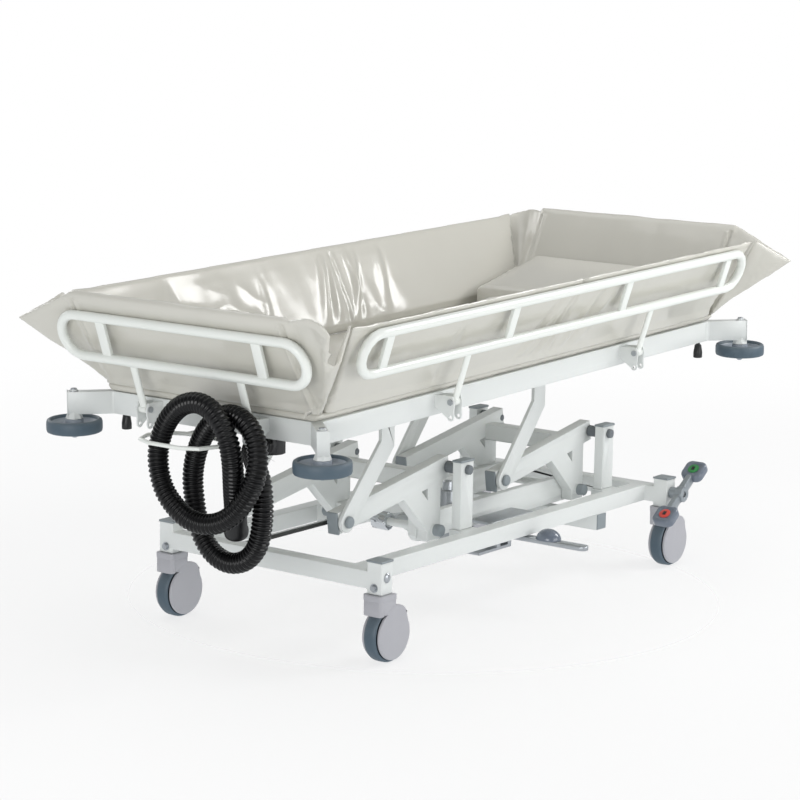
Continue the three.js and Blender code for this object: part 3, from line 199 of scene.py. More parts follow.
def wear_group():
    group, gin, gout = new_group(
        "edge_wear", {"Coordinates": (0, 0, 0), "Colour": WHITE, "Worn Colour": (0.5, 0.5, 0.5, 1),
                      "Amount": 0.3, "Scale": 60.0}, {"Colour": WHITE})
    edge = group.nodes.new("ShaderNodeMapRange")
    edge.inputs["From Min"].default_value = 0.52
    edge.inputs["From Max"].default_value = 0.62
    geometry = group.nodes.new("ShaderNodeNewGeometry")
    group.links.new(geometry.outputs["Pointiness"], edge.inputs["Value"])
    broken = math_node(group, "MULTIPLY", edge.outputs["Result"], noise_node(group, gin, 8))
    mask = math_node(group, "MULTIPLY", broken, gin.outputs["Amount"], True)
    blend_colours(group, gin, gout, mask, "Worn Colour")
    return group


def grain_group():
    group, gin, gout = new_group(
        "surface_grain", {"Coordinates": (0, 0, 0), "Scale": 400.0, "Ripple Scale": 30.0, "Ripple": 0.3},
        {"Height": 0.0})
    broad = noise_node(group, gin, 2, "Ripple Scale")
    ripple = math_node(group, "MULTIPLY", broad, gin.outputs["Ripple"])
    group.links.new(math_node(group, "ADD", ripple, noise_node(group, gin, 3)), gout.inputs["Height"])
    return group


MOTTLE, DUST, WEAR, GRAIN = mottle_group(), dust_group(), wear_group(), grain_group()
print("shader groups", [g.name for g in bpy.data.node_groups])

# %% [markdown]
# One function lays the groups in order: mottle, then wear, then dust for the colour, and grain for the
# bump. Each material keeps its own Principled BSDF, whose plain sockets hold what is the same all over.

# %% Material builder
def srgb(r, g, b):
    def linear(c):
        c /= 255
        return c / 12.92 if c <= 0.04045 else ((c + 0.055) / 1.055) ** 2.4
    return (linear(r), linear(g), linear(b), 1)


def finish_material(name, colour, roughness, metallic=0.0, coat=0.0, mottle=0.06, mottle_scale=30.0,
                    rough_change=0.08, worn=None, wear=0.3, dust=0.1, grain_scale=500.0, ripple_scale=40.0,
                    ripple=0.4, bump=0.0002, specular=0.5, coat_roughness=0.09):
    material = bpy.data.materials.new(name)
    material.use_nodes = True
    tree = material.node_tree
    shader = tree.nodes["Principled BSDF"]
    coordinates = tree.nodes.new("ShaderNodeTexCoord").outputs["Object"]

    def group_node(group, **values):
        node = tree.nodes.new("ShaderNodeGroup")
        node.node_tree = group
        tree.links.new(coordinates, node.inputs["Coordinates"])
        for label, value in values.items():
            node.inputs[label.replace("_", " ")].default_value = value
        return node

    base = group_node(MOTTLE, Colour=colour, Scale=mottle_scale, Darkening=mottle, Roughness=roughness,
                      Roughness_Change=rough_change)
    worn_node = group_node(WEAR, Worn_Colour=worn or tuple(c * 0.7 for c in colour[:3]) + (1,), Amount=wear)
    dust_node = group_node(DUST, Amount=dust)
    tree.links.new(base.outputs["Colour"], worn_node.inputs["Colour"])
    tree.links.new(worn_node.outputs["Colour"], dust_node.inputs["Colour"])
    tree.links.new(dust_node.outputs["Colour"], shader.inputs["Base Color"])
    tree.links.new(base.outputs["Roughness"], shader.inputs["Roughness"])
    grain = group_node(GRAIN, Scale=grain_scale, Ripple_Scale=ripple_scale, Ripple=ripple)
    relief = tree.nodes.new("ShaderNodeBump")
    relief.inputs["Distance"].default_value = bump
    relief.inputs["Strength"].default_value = 0.5
    tree.links.new(grain.outputs["Height"], relief.inputs["Height"])
    tree.links.new(relief.outputs["Normal"], shader.inputs["Normal"])
    shader.inputs["Metallic"].default_value = metallic
    shader.inputs["Coat Weight"].default_value = coat
    shader.inputs["Coat Roughness"].default_value = coat_roughness
    shader.inputs["Specular IOR Level"].default_value = specular
    return material


print("material builder ready")

# %% [markdown]
# The frame is powder coated in a pale grey white with a trace of green, the guard rails a shade whiter.
# The tub is coated fabric: beige grey, soft to the touch, with a wet gloss where it bends. Castors and
# caps are moulded plastic, treads a grey blue that leaves no marks, and the hose shiny black.

# %% Materials
paint = finish_material("frame_powder_coat", srgb(218, 221, 219), 0.36, coat=0.15, mottle=0.03,
                        worn=srgb(170, 176, 176), wear=0.25, dust=0.06, ripple_scale=90, bump=0.00025)
white_paint = finish_material("guard_powder_coat", srgb(229, 232, 227), 0.30, coat=0.25, mottle=0.02,
                              worn=srgb(190, 192, 190), wear=0.2, dust=0.05, ripple_scale=90)
vinyl = finish_material("liner_vinyl", srgb(200, 198, 189), 0.3, coat=0.55, coat_roughness=0.11,
                        mottle=0.04, mottle_scale=9, rough_change=0.06, wear=0.0, dust=0.0,
                        ripple_scale=16, ripple=1.5)
cap_plastic = finish_material("cap_plastic", srgb(136, 144, 148), 0.5, mottle=0.08, dust=0.12)
stopper = finish_material("pin_plastic", srgb(104, 110, 114), 0.5, mottle=0.08)
castor_plastic = finish_material("castor_plastic", srgb(170, 170, 175), 0.45, dust=0.12,
                                 grain_scale=700, bump=0.0003)
tread = finish_material("tread_rubber", srgb(70, 87, 99), 0.5, mottle=0.12, mottle_scale=60, dust=0.18,
                        worn=srgb(120, 130, 138), wear=0.4, bump=0.0004)
rim_plastic = finish_material("bumper_rim_plastic", srgb(150, 158, 168), 0.35)
pedal_plastic = finish_material("pedal_plastic", srgb(101, 110, 123), 0.24, coat=0.45, mottle=0.08, dust=0.08)
hose_plastic = finish_material("hose_plastic", srgb(7, 7, 8), 0.3, coat=0.4, coat_roughness=0.04,
                               specular=0.1, mottle=0.15, dust=0.0, worn=srgb(26, 26, 27), wear=0.1,
                               bump=0.00005)
knob_plastic = finish_material("knob_plastic", srgb(20, 21, 23), 0.42, mottle=0.2, dust=0.05, bump=0.0003)
zinc = finish_material("zinc_plate", srgb(176, 180, 184), 0.34, metallic=0.9, mottle=0.14, mottle_scale=50,
                       worn=srgb(120, 122, 124), dust=0.05, bump=0.0003)
hard_chrome = finish_material("hard_chrome", srgb(208, 211, 214), 0.12, metallic=1.0, mottle=0.04,
                              dust=0.02, bump=0.00005)
rocker_paint = finish_material("rocker_paint", srgb(142, 149, 154), 0.3, metallic=0.3, coat=0.3,
                               worn=srgb(110, 114, 118))
go_green = finish_material("pedal_green", srgb(28, 134, 60), 0.35, coat=0.3, mottle=0.1)
stop_red = finish_material("pedal_red", srgb(212, 62, 48), 0.35, coat=0.3, mottle=0.1)
print("materials", len(bpy.data.materials))

# %% [markdown]
# Most hard pieces already have the right shape in CAD, but with knife-sharp edges. Real tube and plate
# has a small radius that catches the light. Each such node is copied, its triangles are merged back into
# flat faces, and a Bevel modifier rounds every sharp edge. The copy then stands for the node.

# %% Softened copies of the hard pieces
def merged_copy(node, flat=1.0):
    mesh = bmesh.new()
    mesh.from_mesh(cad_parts[node].data)
    bmesh.ops.remove_doubles(mesh, verts=mesh.verts, dist=1e-5)
    if flat:
        bmesh.ops.dissolve_limit(mesh, angle_limit=math.radians(flat), use_dissolve_boundaries=False,
                                 verts=mesh.verts, edges=mesh.edges)
    return mesh


def make_piece(name, mesh, material, body, nodes=(), smooth=35.0):
    piece = mesh_object(name, mesh)
    for one in material if isinstance(material, (list, tuple)) else [material]:
        piece.data.materials.append(one)
    if smooth:
        piece.data.shade_smooth()
        piece.data.set_sharp_from_angle(angle=math.radians(smooth))
    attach(piece, body)
    if nodes:
        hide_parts(*nodes)
    return piece


def round_edges(piece, width, segments=2, angle=32.0):
    bevel = piece.modifiers.new("rounded_edges", "BEVEL")
    bevel.width = width
    bevel.segments = segments
    bevel.limit_method = "ANGLE"
    bevel.angle_limit = math.radians(angle)
    bevel.use_clamp_overlap = False
    bevel.harden_normals = True
    return piece


def softened(node, body, material, width, name=None, segments=2):
    piece = make_piece(name or node + "_dressed", merged_copy(node), material, body, [node], None)
    piece.data.shade_smooth()
    return round_edges(piece, width, segments)


hard_pieces = [
    ("base_frame", "base", paint, "frame_paint", 0.0022),
    ("foot_pump", "base", zinc, "bare_steel", 0.0012),
    ("lift_arm_left", "lift_left", paint, "frame_paint", 0.0011),
    ("lift_arm_right", "lift_right", paint, "frame_paint", 0.0011),
    ("crank_link_near", "crank_links", paint, "frame_paint", 0.002),
    ("crank_link_far", "crank_links", paint, "frame_paint", 0.002),
    ("ram_cylinder", "ram_outer", paint, "frame_paint", 0.0015),
    ("ram_rod", "ram_inner", hard_chrome, "polished_rod", 0.0012),
    ("brake_tie_bar", "brake_tie", paint, "frame_paint", 0.001),
    ("brake_shaft_head", "brake_main", zinc, "bare_steel", 0.0008),
    ("brake_shaft_drain", "brake_second", zinc, "bare_steel", 0.0008),
    ("pump_lever", "pedal", zinc, "bare_steel", 0.0015),
    ("hanger_frame_left", "top", paint, "frame_paint", 0.0011),
    ("hanger_frame_right", "top", paint, "frame_paint", 0.0011),
    ("top_rail_near", "top", paint, "frame_paint", 0.0007),
    ("top_rail_far", "top", paint, "frame_paint", 0.0007),
    ("top_end_head", "top", paint, "frame_paint", 0.0007),
    ("top_end_drain", "top", paint, "frame_paint", 0.0007),
    ("hose_holder", "top", white_paint, "guard_white", 0.001),
    ("drain_outlet", "top", knob_plastic, "black_plastic", 0.002),
    ("pull_knob_near", "knob_near", knob_plastic, "black_plastic", 0.0015),
    ("pull_knob_far", "knob_far", knob_plastic, "black_plastic", 0.0015),
]
for side, row in itertools.product(("near", "far"), ("left", "right")):
    hard_pieces.append((f"upright_{row}_{side}", "base", paint, "frame_paint", 0.002))
    hard_pieces.append((f"pivot_pin_{row}_{side}", "base", stopper, "cap_grey", 0.001))
for node, body, material, slot, width in hard_pieces:
    softened(node, body, material, width)
print("softened", len(hard_pieces), "nodes")

# %% [markdown]
# The drain hose is the one cord. Its real length is wound in loose loops on the holder, out of the outlet
# and back under the rail. The route repeats the CAD's points, joined by a centripetal Catmull-Rom curve.
# A grid from one operator is rolled round that line, and each rib is a wave in its radius.

# %% The hose's line
HOSE_ROUTE = [
    (-752, -104, 482), (-795, -110, 482), (-830, -135, 477), (-856, -167, 460), (-869, -193, 427),
    (-871, -200, 384), (-870, -197, 338), (-869, -184, 291), (-867, -151, 256), (-866, -105, 243),
    (-864, -60, 255), (-863, -27, 288), (-863, -11, 330), (-864, -3, 372), (-867, -2, 413),
    (-871, -11, 455), (-875, -29, 495), (-881, -56, 530), (-887, -90, 556), (-893, -132, 569),
    (-900, -173, 560), (-905, -204, 532), (-911, -218, 491), (-917, -216, 448), (-922, -199, 407),
    (-927, -172, 372), (-930, -136, 347), (-932, -92, 336), (-933, -50, 341), (-932, -10, 362),
    (-931, 21, 393), (-930, 38, 434), (-930, 40, 478), (-930, 27, 521), (-932, 3, 556),
    (-935, -32, 583), (-939, -75, 594), (-943, -116, 585), (-945, -149, 556), (-940, -165, 516),
    (-929, -165, 474), (-913, -154, 434), (-895, -141, 397), (-876, -128, 358),
]
HOSE_RADIUS = 0.023


def catmull_points(points, per_span=12):
    first = points[0] * 2 - points[1]
    last = points[-1] * 2 - points[-2]
    ends = [first] + points + [last]
    line = []
    for i in range(1, len(ends) - 2):
        p0, p1, p2, p3 = ends[i - 1:i + 3]
        d0, d1, d2 = [max((a - b).length, 1e-9) ** 0.5 for a, b in ((p1, p0), (p2, p1), (p3, p2))]
        m1 = ((p1 - p0) / d0 - (p2 - p0) / (d0 + d1) + (p2 - p1) / d1) * d1
        m2 = ((p2 - p1) / d1 - (p3 - p1) / (d1 + d2) + (p3 - p2) / d2) * d1
        for k in range(per_span):
            t = k / per_span
            a, b = 2 * t ** 3 - 3 * t ** 2 + 1, t ** 3 - 2 * t ** 2 + t
            c, d = -2 * t ** 3 + 3 * t ** 2, t ** 3 - t ** 2
            line.append(p1 * a + m1 * b + p2 * c + m2 * d)
    return line + [points[-1]]


def even_steps(line, count, closed=False):
    if closed:
        line = line + [line[0]]
    lengths = np.cumsum([0] + [(b - a).length for a, b in zip(line, line[1:])])
    spots = np.linspace(0, lengths[-1], count + 1)[:count if closed else None]
    xyz = np.array([tuple(p) for p in line])
    placed = np.stack([np.interp(spots, lengths, xyz[:, k]) for k in range(3)], 1)
    return [Vector(p) for p in placed], lengths[-1]


hose_line = catmull_points([base_point(*p) for p in HOSE_ROUTE])
HOSE_STEPS = 1764
hose_points, hose_length = even_steps(hose_line, HOSE_STEPS)
print("hose length", round(hose_length, 4), "m")


# %% A grid rolled into a tube
def rolled_tube(points, radius_at, sides, closed=False, start_normal=Vector((0, 0, 1)), squash=None):
    count = len(points)
    mesh = bmesh.new()
    rows = count if closed else count - 1
    bmesh.ops.create_grid(mesh, x_segments=rows, y_segments=sides, size=1.0)
    normal = start_normal
    frames = []
    for i, p in enumerate(points):
        after = points[(i + 1) % count] if closed or i < count - 1 else p
        before = points[i - 1] if closed or i > 0 else p
        tangent = (after - before).normalized()
        normal = (normal - tangent * normal.dot(tangent)).normalized()
        frames.append((p, normal, tangent.cross(normal)))
    for v in mesh.verts:
        i = round((v.co.x + 1) / 2 * rows)
        a = (v.co.y + 1) * math.pi
        p, n, b = frames[i % count]
        r = radius_at(i % count)
        wide, deep = squash or (1, 1)
        v.co = p + n * (r * math.cos(a) * wide) + b * (r * math.sin(a) * deep)
    bmesh.ops.remove_doubles(mesh, verts=mesh.verts, dist=1e-6)
    bmesh.ops.recalc_face_normals(mesh, faces=mesh.faces)
    return mesh


RIBS = 196
RIB_DEPTH = 0.0034
RIB_FATNESS = 0.75
BORE_SHARE = 0.8


def rib_radius(i):
    wave = 0.5 + 0.5 * math.cos(i / HOSE_STEPS * RIBS * 2 * math.pi)
    return HOSE_RADIUS - RIB_DEPTH * (1 - wave ** RIB_FATNESS)


hose_mesh = rolled_tube(hose_points, rib_radius, 24)
rims = [e for e in hose_mesh.edges if e.is_boundary]
inner = bmesh.ops.extrude_edge_only(hose_mesh, edges=rims)
lip = [g for g in inner["geom"] if isinstance(g, bmesh.types.BMVert)]
for end in (hose_points[0], hose_points[-1]):
    near_end = [v for v in lip if (v.co - end).length < 2 * HOSE_RADIUS]
    bmesh.ops.scale(hose_mesh, vec=[BORE_SHARE] * 3, space=Matrix.Translation(-end), verts=near_end)
hose = make_piece("drain_hose_ribbed", hose_mesh, hose_plastic, "top", ["drain_hose"], 60)
print("hose faces", len(hose.data.polygons))

# %% [markdown]
# The cuff is a smooth rubber sleeve with a bead at its mouth. A short profile is spun round an axis with
# bmesh's spin, then turned to the hose's last direction. The same helper serves wheels, caps and bolts.

# %% Spun profiles
def spun(profile, sides=48, matrix=Matrix.Identity(4), closed=False):
    mesh = bmesh.new()
    verts = [mesh.verts.new((r, 0, h)) for r, h in profile]
    edges = [mesh.edges.new(pair) for pair in zip(verts, verts[1:])]
    if closed:
        edges.append(mesh.edges.new((verts[-1], verts[0])))
    bmesh.ops.spin(mesh, geom=verts + edges, cent=(0, 0, 0), axis=(0, 0, 1), angle=2 * math.pi,
                   steps=sides, use_merge=True)
    bmesh.ops.remove_doubles(mesh, verts=mesh.verts, dist=1e-7)
    bmesh.ops.recalc_face_normals(mesh, faces=mesh.faces)
    bmesh.ops.transform(mesh, matrix=matrix, verts=mesh.verts)
    return mesh


def facing(at, direction):
    return Matrix.Translation(at) @ Vector(direction).to_track_quat("Z", "Y").to_matrix().to_4x4()


hose_end = hose_points[-1]
hose_way = (hose_points[-1] - hose_points[-12]).normalized()
cuff_profile = [(0.0180, 0.0004), (0.0235, 0.0004), (0.0245, 0.0020), (0.0245, 0.0440), (0.0262, 0.0480),
                (0.0264, 0.0560), (0.0258, 0.0612), (0.0236, 0.0620), (0.0200, 0.0612), (0.0180, 0.0590)]
cuff = make_piece("hose_cuff_sleeve", spun(cuff_profile, 48, facing(hose_end, hose_way), closed=True),
                  knob_plastic, "top", ["hose_cuff"], smooth=50)
print("cuff at", tuple(round(c, 3) for c in hose_end))

# %% [markdown]
# The guard rails are loops of round tube. A closed line of two straights and two half circles is rolled
# into a tube, flat bars are bevelled boxes from create_cube, and each leg is a flattened tube that ends
# in an eye on the bracket's pin.

# %% Guard rails
LEAN = math.radians(18)
GUARD_TUBE_R = 11.0
LEG_TUBE_R = 10.0
LEG_FLATNESS = 0.55
BAR_HALF_WIDE = 12.5
BAR_HALF_THICK = 4.5
LOOP_STEPS = 150
SIDE_LOOP, SIDE_BARS = (795, 113, 228), (0.298, 0.883)
END_LOOP, END_BARS = (352, 102, 222), (0.62,)
LEG_START, LEG_STEPS = 6, 24
EYE = [(4.8, -10), (8.6, -10), (9, -9.6), (9, 9.6), (8.6, 10), (4.8, 10)]


def loop_points(half, low, high, bend_steps=20):
    r = (high - low) / 2 - GUARD_TUBE_R
    mid = (high + low) / 2
    line = []
    for side in (1, -1):
        for k in range(bend_steps + 1):
            a = -side * math.pi / 2 + math.pi * k / bend_steps
            reach = side * (half - GUARD_TUBE_R - r)
            line.append(Vector((reach + r * math.cos(a), 0, mid + r * math.sin(a))))
    return line


def rounded(mesh, edges, width, segments):
    bmesh.ops.bevel(mesh, geom=edges, offset=width, offset_type="OFFSET", affect="EDGES",
                    segments=segments, profile=0.5, material=-1)


def bar(x0, x1, y0, y1, z0, z1, matrix, rounding=0.8, segments=2):
    mesh = bmesh.new()
    size = Vector((x1 - x0, y1 - y0, z1 - z0))
    place = Matrix.Translation(((x0 + x1) / 2, (y0 + y1) / 2, (z0 + z1) / 2)) @ Matrix.Diagonal((*size, 1))
    bmesh.ops.create_cube(mesh, size=1, matrix=place)
    rounded(mesh, mesh.edges[:], rounding, segments)
    bmesh.ops.transform(mesh, matrix=matrix, verts=mesh.verts)
    return mesh


def join(meshes):
    whole = bmesh.new()
    for one in meshes:
        data = bpy.data.meshes.new("part")
        one.to_mesh(data)
        one.free()
        whole.from_mesh(data)
        bpy.data.meshes.remove(data)
    return whole


def guard_rail(half, low, high, legs, bars, matrix):
    line, _ = even_steps(loop_points(half, low, high), LOOP_STEPS, closed=True)
    tube = rolled_tube(line, lambda i: GUARD_TUBE_R, 20, closed=True, start_normal=Vector((0, 1, 0)))
    bmesh.ops.transform(tube, matrix=matrix, verts=tube.verts)
    parts = [tube]
    for share in bars:
        for s in (-1, 1):
            x = s * share * half
            parts.append(bar(x - BAR_HALF_WIDE, x + BAR_HALF_WIDE, -BAR_HALF_THICK, BAR_HALF_THICK,
                             low + 12, high - 12, matrix, 1.2))
    for s in (-1, 1):
        x = s * legs
        points = [Vector((x, 0, LEG_START + (low + 2) * k / LEG_STEPS)) for k in range(LEG_STEPS + 1)]
        leg = rolled_tube(points, lambda i: LEG_TUBE_R, 20, start_normal=Vector((1, 0, 0)),
                          squash=(1, LEG_FLATNESS))
        bmesh.ops.transform(leg, matrix=matrix, verts=leg.verts)
        eye = spun(EYE, 28, matrix @ facing((x, 0, 0), (1, 0, 0)), closed=True)
        parts += [leg, eye]
    return join(parts)


for side, sy in SIDES:
    pivot = TOP_MM @ Matrix.Translation((0, sy * SIDE_PIVOT_Y, GUARD_PIVOT_Z))
    place = pivot @ Matrix.Rotation(-sy * LEAN, 4, "X")
    make_piece(f"guard_loop_{side}", guard_rail(*SIDE_LOOP, SIDE_LEG_X, SIDE_BARS, place), white_paint,
               f"guard_{side}", [f"guard_rail_{side}"], smooth=50)
for end, sx, body in (("drain", -1, "top"), ("head", 1, "guard_head")):
    pivot = TOP_MM @ Matrix.Translation((sx * END_PIVOT_X, 0, GUARD_PIVOT_Z))
    place = pivot @ Matrix.Rotation(sx * LEAN, 4, "Y") @ Matrix.Rotation(math.pi / 2, 4, "Z")
    make_piece(f"guard_loop_{end}", guard_rail(*END_LOOP, END_LEG_Y, END_BARS, place), white_paint,
               body, [f"guard_rail_{end}"], smooth=50)
print("guard rails 4")

# %% [markdown]
# A castor is a moulded shell: a block under the post, a bridge over the wheel and a round cheek on each
# side, with the tread showing between them. The cheek is a disc with a neck that leans into the block.
# The outline is drawn once, extruded to its thickness and bevelled, as a mould would round it.

# %% Castor shells and wheels
WHEEL_R = 62.3
TRAIL = 26.0
CHEEK_R = 55.5
CHEEK_Y = 20.7
CHEEK_HALF = 3.7


def outline_plate(points, y0, y1, rounding, matrix, segments=3):
    mesh = bmesh.new()
    verts = [mesh.verts.new((x, y0, z)) for x, z in points]
    face = mesh.faces.new(verts)
    moved = bmesh.ops.extrude_face_region(mesh, geom=[face])
    far_side = [g for g in moved["geom"] if isinstance(g, bmesh.types.BMVert)]
    bmesh.ops.translate(mesh, vec=(0, y1 - y0, 0), verts=far_side)
    bmesh.ops.recalc_face_normals(mesh, faces=mesh.faces)
    if rounding:
        rims = [e for e in mesh.edges if abs(e.verts[0].co.y - e.verts[1].co.y) < 1e-6]
        rounded(mesh, rims, rounding, segments)
    bmesh.ops.transform(mesh, matrix=matrix, verts=mesh.verts)
    return mesh


def arc(cx, cz, r, start, stop, steps):
    return [(cx + r * math.cos(math.radians(start + (stop - start) * k / steps)),
             cz + r * math.sin(math.radians(start + (stop - start) * k / steps))) for k in range(steps + 1)]


def hump(start, stop, steps, inset=0.0):
    line = []
    for k in range(steps + 1):
        angle = start + (stop - start) * k / steps
        swell = min(1.0, max(0.0, (angle - 28) / 34))
        r = CHEEK_R + 12.5 * swell * swell * (3 - 2 * swell) - inset
        line.append((TRAIL + r * math.cos(math.radians(angle)), WHEEL_R + r * math.sin(math.radians(angle))))
    return line


def castor_shell(place):
    cheek = (arc(TRAIL, WHEEL_R, CHEEK_R, 118, 388, 56) + hump(30, 87, 14)
             + [(26, 134), (25, 154.5), (-12, 154.5), (-12, 112)])
    parts = [outline_plate(cheek, s * CHEEK_Y - CHEEK_HALF, s * CHEEK_Y + CHEEK_HALF, 2.6, place)
             for s in (-1, 1)]
    roof = hump(88, 44, 12, 0.8) + arc(TRAIL, WHEEL_R, 64.2, 46, 88, 12)
    parts.append(outline_plate(roof, -23.5, 23.5, 0, place))
    lower = ([(-27.0, 143.4), (25.4, 143.4), (25.4, 131.5)] + arc(TRAIL, WHEEL_R, 65.4, 91, 131, 12)
             + [(-27.0, 109.5)])
    upper = [(-27.8, 156.6), (26.2, 156.6), (26.2, 142.8), (-27.8, 142.8)]
    for line, half in ((lower, 26.8), (upper, 27.4)):
        block = outline_plate(line, -half, half, 0, Matrix.Identity(4))
        corners = [e for e in block.edges if abs(e.verts[0].co.x - e.verts[1].co.x) < 0.1
                   and abs(e.verts[0].co.y - e.verts[1].co.y) < 0.1 and e.verts[0].co.x < -20]
        rounded(block, corners, 10, 7)
        rounded(block, [e for e in block.edges if e.calc_face_angle(0) > 1.0], 1.2, 2)
        bmesh.ops.transform(block, matrix=place, verts=block.verts)
        parts.append(block)
    stem = [(0, 150), (20, 150), (20, 156.8), (9.5, 156.8), (8.9, 157.2), (8.9, 178.6), (0, 178.6)]
    return join(parts + [spun(stem, 40, place)])


tread_profile = [(5.4, -13.5), (17, -14.6), (30, -10), (48, -9.5), (54, -13.5), (57.0, -16.0), (60.0, -14.9),
                 (61.9, -11.0), (62.3, -5), (62.3, 5), (61.9, 11.0), (60.0, 14.9), (57.0, 16.0), (54, 13.5),
                 (48, 9.5), (30, 10), (17, 14.6), (5.4, 13.5)]
for corner, sx, sy in CORNERS:
    place = BASE_MM @ Matrix.Translation((sx * POST_X, sy * POST_Y, 0))
    make_piece(f"castor_shell_{corner}", castor_shell(place), castor_plastic, f"fork_{corner}",
               [f"castor_fork_{corner}"], smooth=40)
    axle = place @ Matrix.Translation((TRAIL, 0, WHEEL_R)) @ Matrix.Rotation(math.pi / 2, 4, "X")
    make_piece(f"castor_tread_{corner}", spun(tread_profile, 72, axle, closed=True), tread,
               f"wheel_{corner}", [f"castor_wheel_{corner}"], smooth=50)
print("castors 4")

# %% [markdown]
# The four corner wheels lie flat, to roll along a wall. Each has a pale dished centre with a fine step,
# and a grey blue tread with a soft shoulder. The two parts are spun as one mesh with two materials.

# %% Bumper wheels
bumper_profile = [(8.4, -14.6), (16, -14.8), (22, -12), (44, -11), (50, -13.8), (57, -14.8), (60.8, -13),
                  (62.1, -9), (62.3, 0), (62.1, 8), (60.6, 12.6), (57.5, 14.6), (54.5, 14.8), (52.5, 13.4),
                  (51, 8), (46, 3), (30, 2), (21, 4), (19.5, 13.6), (17.5, 14.8), (8.4, 14.8)]
BUMPER_Z = -76
TREAD_FROM_R = 51.5
for corner, sx, sy in CORNERS:
    place = TOP_MM @ Matrix.Translation((sx * BUMPER_X, sy * BUMPER_Y, BUMPER_Z))
    wheel = spun(bumper_profile, 72, Matrix.Identity(4), closed=True)
    for face in wheel.faces:
        middle = face.calc_center_median()
        is_tread = math.hypot(middle.x, middle.y) > TREAD_FROM_R or middle.z < -10
        face.material_index = 0 if is_tread else 1
    bmesh.ops.transform(wheel, matrix=place, verts=wheel.verts)
    make_piece(f"bumper_tread_{corner}", wheel, [tread, rim_plastic], f"bumper_{corner}",
               [f"bumper_wheel_{corner}"], smooth=45)
print("bumper wheels 4")

# %% [markdown]
# The brake's two pads are worked by a foot, so they are fat rounded squares. Each has a shallow round dish
# with a coloured disc. The rocker between them is a flat bar with a round hub. They are drawn level, and
# the whole is turned to the braked position. The pump's pad is an oval cushion of the same plastic.

# %% Pedals
BRAKED = math.radians(35)
SHAFT_Z = 194
ROCKER = BASE_MM @ Matrix.Translation((POST_X, 0, SHAFT_Z)) @ Matrix.Rotation(-BRAKED, 4, "Y")
PAD_REACH = 82
PAD_Y = -348.5
PUMP_PAD_AT = (60, -306, 163.5)
PUMP_PAD_RADII = (28, 31, 25.5)


def fat_pad(cx, cy, half, thick, matrix):
    mesh = bmesh.new()
    place = Matrix.Translation((cx, cy, 0)) @ Matrix.Diagonal((2 * half, 2 * half, thick, 1))
    bmesh.ops.create_cube(mesh, size=1, matrix=place)
    upright = [e for e in mesh.edges if abs(e.verts[0].co.z - e.verts[1].co.z) > 1]
    rounded(mesh, upright, 17, 8)
    rounded(mesh, [e for e in mesh.edges if e.calc_face_angle(0) > 1.2], 7, 5)
    top = max((f for f in mesh.faces if f.normal.z > 0.9), key=lambda f: f.calc_area())
    bmesh.ops.inset_region(mesh, faces=[top], thickness=5, depth=0)
    bmesh.ops.inset_region(mesh, faces=[top], thickness=1.4, depth=-1.2)
    bmesh.ops.transform(mesh, matrix=matrix, verts=mesh.verts)
    return mesh


def coloured_disc(cx, cy, z, r, matrix):
    profile = [(0, z), (r - 1.5, z), (r, z - 1.0), (r, z - 2.5), (0, z - 2.5)]
    return spun(profile, 40, matrix @ Matrix.Translation((cx, cy, 0)))


for name, sx, colour in (("on", -1, stop_red), ("off", 1, go_green)):
    pad_x = sx * PAD_REACH
    make_piece(f"brake_foot_pad_{name}", fat_pad(pad_x, PAD_Y, 29, 24, ROCKER), pedal_plastic,
               "brake_main", [f"brake_pad_{name}"], smooth=50)
    make_piece(f"brake_disc_{name}", coloured_disc(pad_x, PAD_Y, 12.6, 14.5, ROCKER), colour,
               "brake_main", smooth=40)
    mark = bar(pad_x - 6, pad_x + 6, PAD_Y - 4.5, PAD_Y + 4.5, 12.0, 13.2, ROCKER, 0.5)
    make_piece(f"brake_mark_{name}", mark, knob_plastic, "brake_main", smooth=40)
softened("brake_rocker", "brake_main", rocker_paint, 0.0025, "brake_rocker_arm", 3)
pump_pad = bmesh.new()
oval = BASE_MM @ Matrix.Translation(PUMP_PAD_AT) @ Matrix.Diagonal((*PUMP_PAD_RADII, 1))
bmesh.ops.create_uvsphere(pump_pad, u_segments=40, v_segments=24, radius=1, matrix=oval)
bmesh.ops.bisect_plane(pump_pad, geom=pump_pad.verts[:] + pump_pad.edges[:] + pump_pad.faces[:],
                       plane_co=base_point(*PUMP_PAD_AT), plane_no=(0, 0, -1), clear_outer=True)
bmesh.ops.holes_fill(pump_pad, edges=[e for e in pump_pad.edges if e.is_boundary], sides=0)
make_piece("pump_foot_pad", pump_pad, pedal_plastic, "pedal", ["pump_pad"], smooth=50)
print("pedals done")

# %% [markdown]
# The tub is coated fabric over foam. Each soft piece starts as its CAD solid and is remeshed into even
# small faces. The walls and the pillow are then eased by Blender's Cloth with a little pressure inside, so
# that they swell and pucker as stuffed vinyl does. The movement is capped, so that each stays in the room
# the solid has. The floor pad lies flat and firm, and is only remeshed.

# %% Soft forms
def active(piece):
    for other in bpy.context.selected_objects:
        other.select_set(False)
    piece.select_set(True)
    bpy.context.view_layer.objects.active = piece


def apply_all(piece):
    active(piece)
    depsgraph = bpy.context.evaluated_depsgraph_get()
    data = bpy.data.meshes.new_from_object(piece.evaluated_get(depsgraph))
    piece.modifiers.clear()
    old = piece.data
    piece.data = data
    bpy.data.meshes.remove(old)


def points_of(piece):
    return np.array([v.co for v in piece.data.vertices])


def move_points(piece, places):
    piece.data.vertices.foreach_set("co", np.asarray(places, dtype=np.float32).ravel())
    piece.data.update()


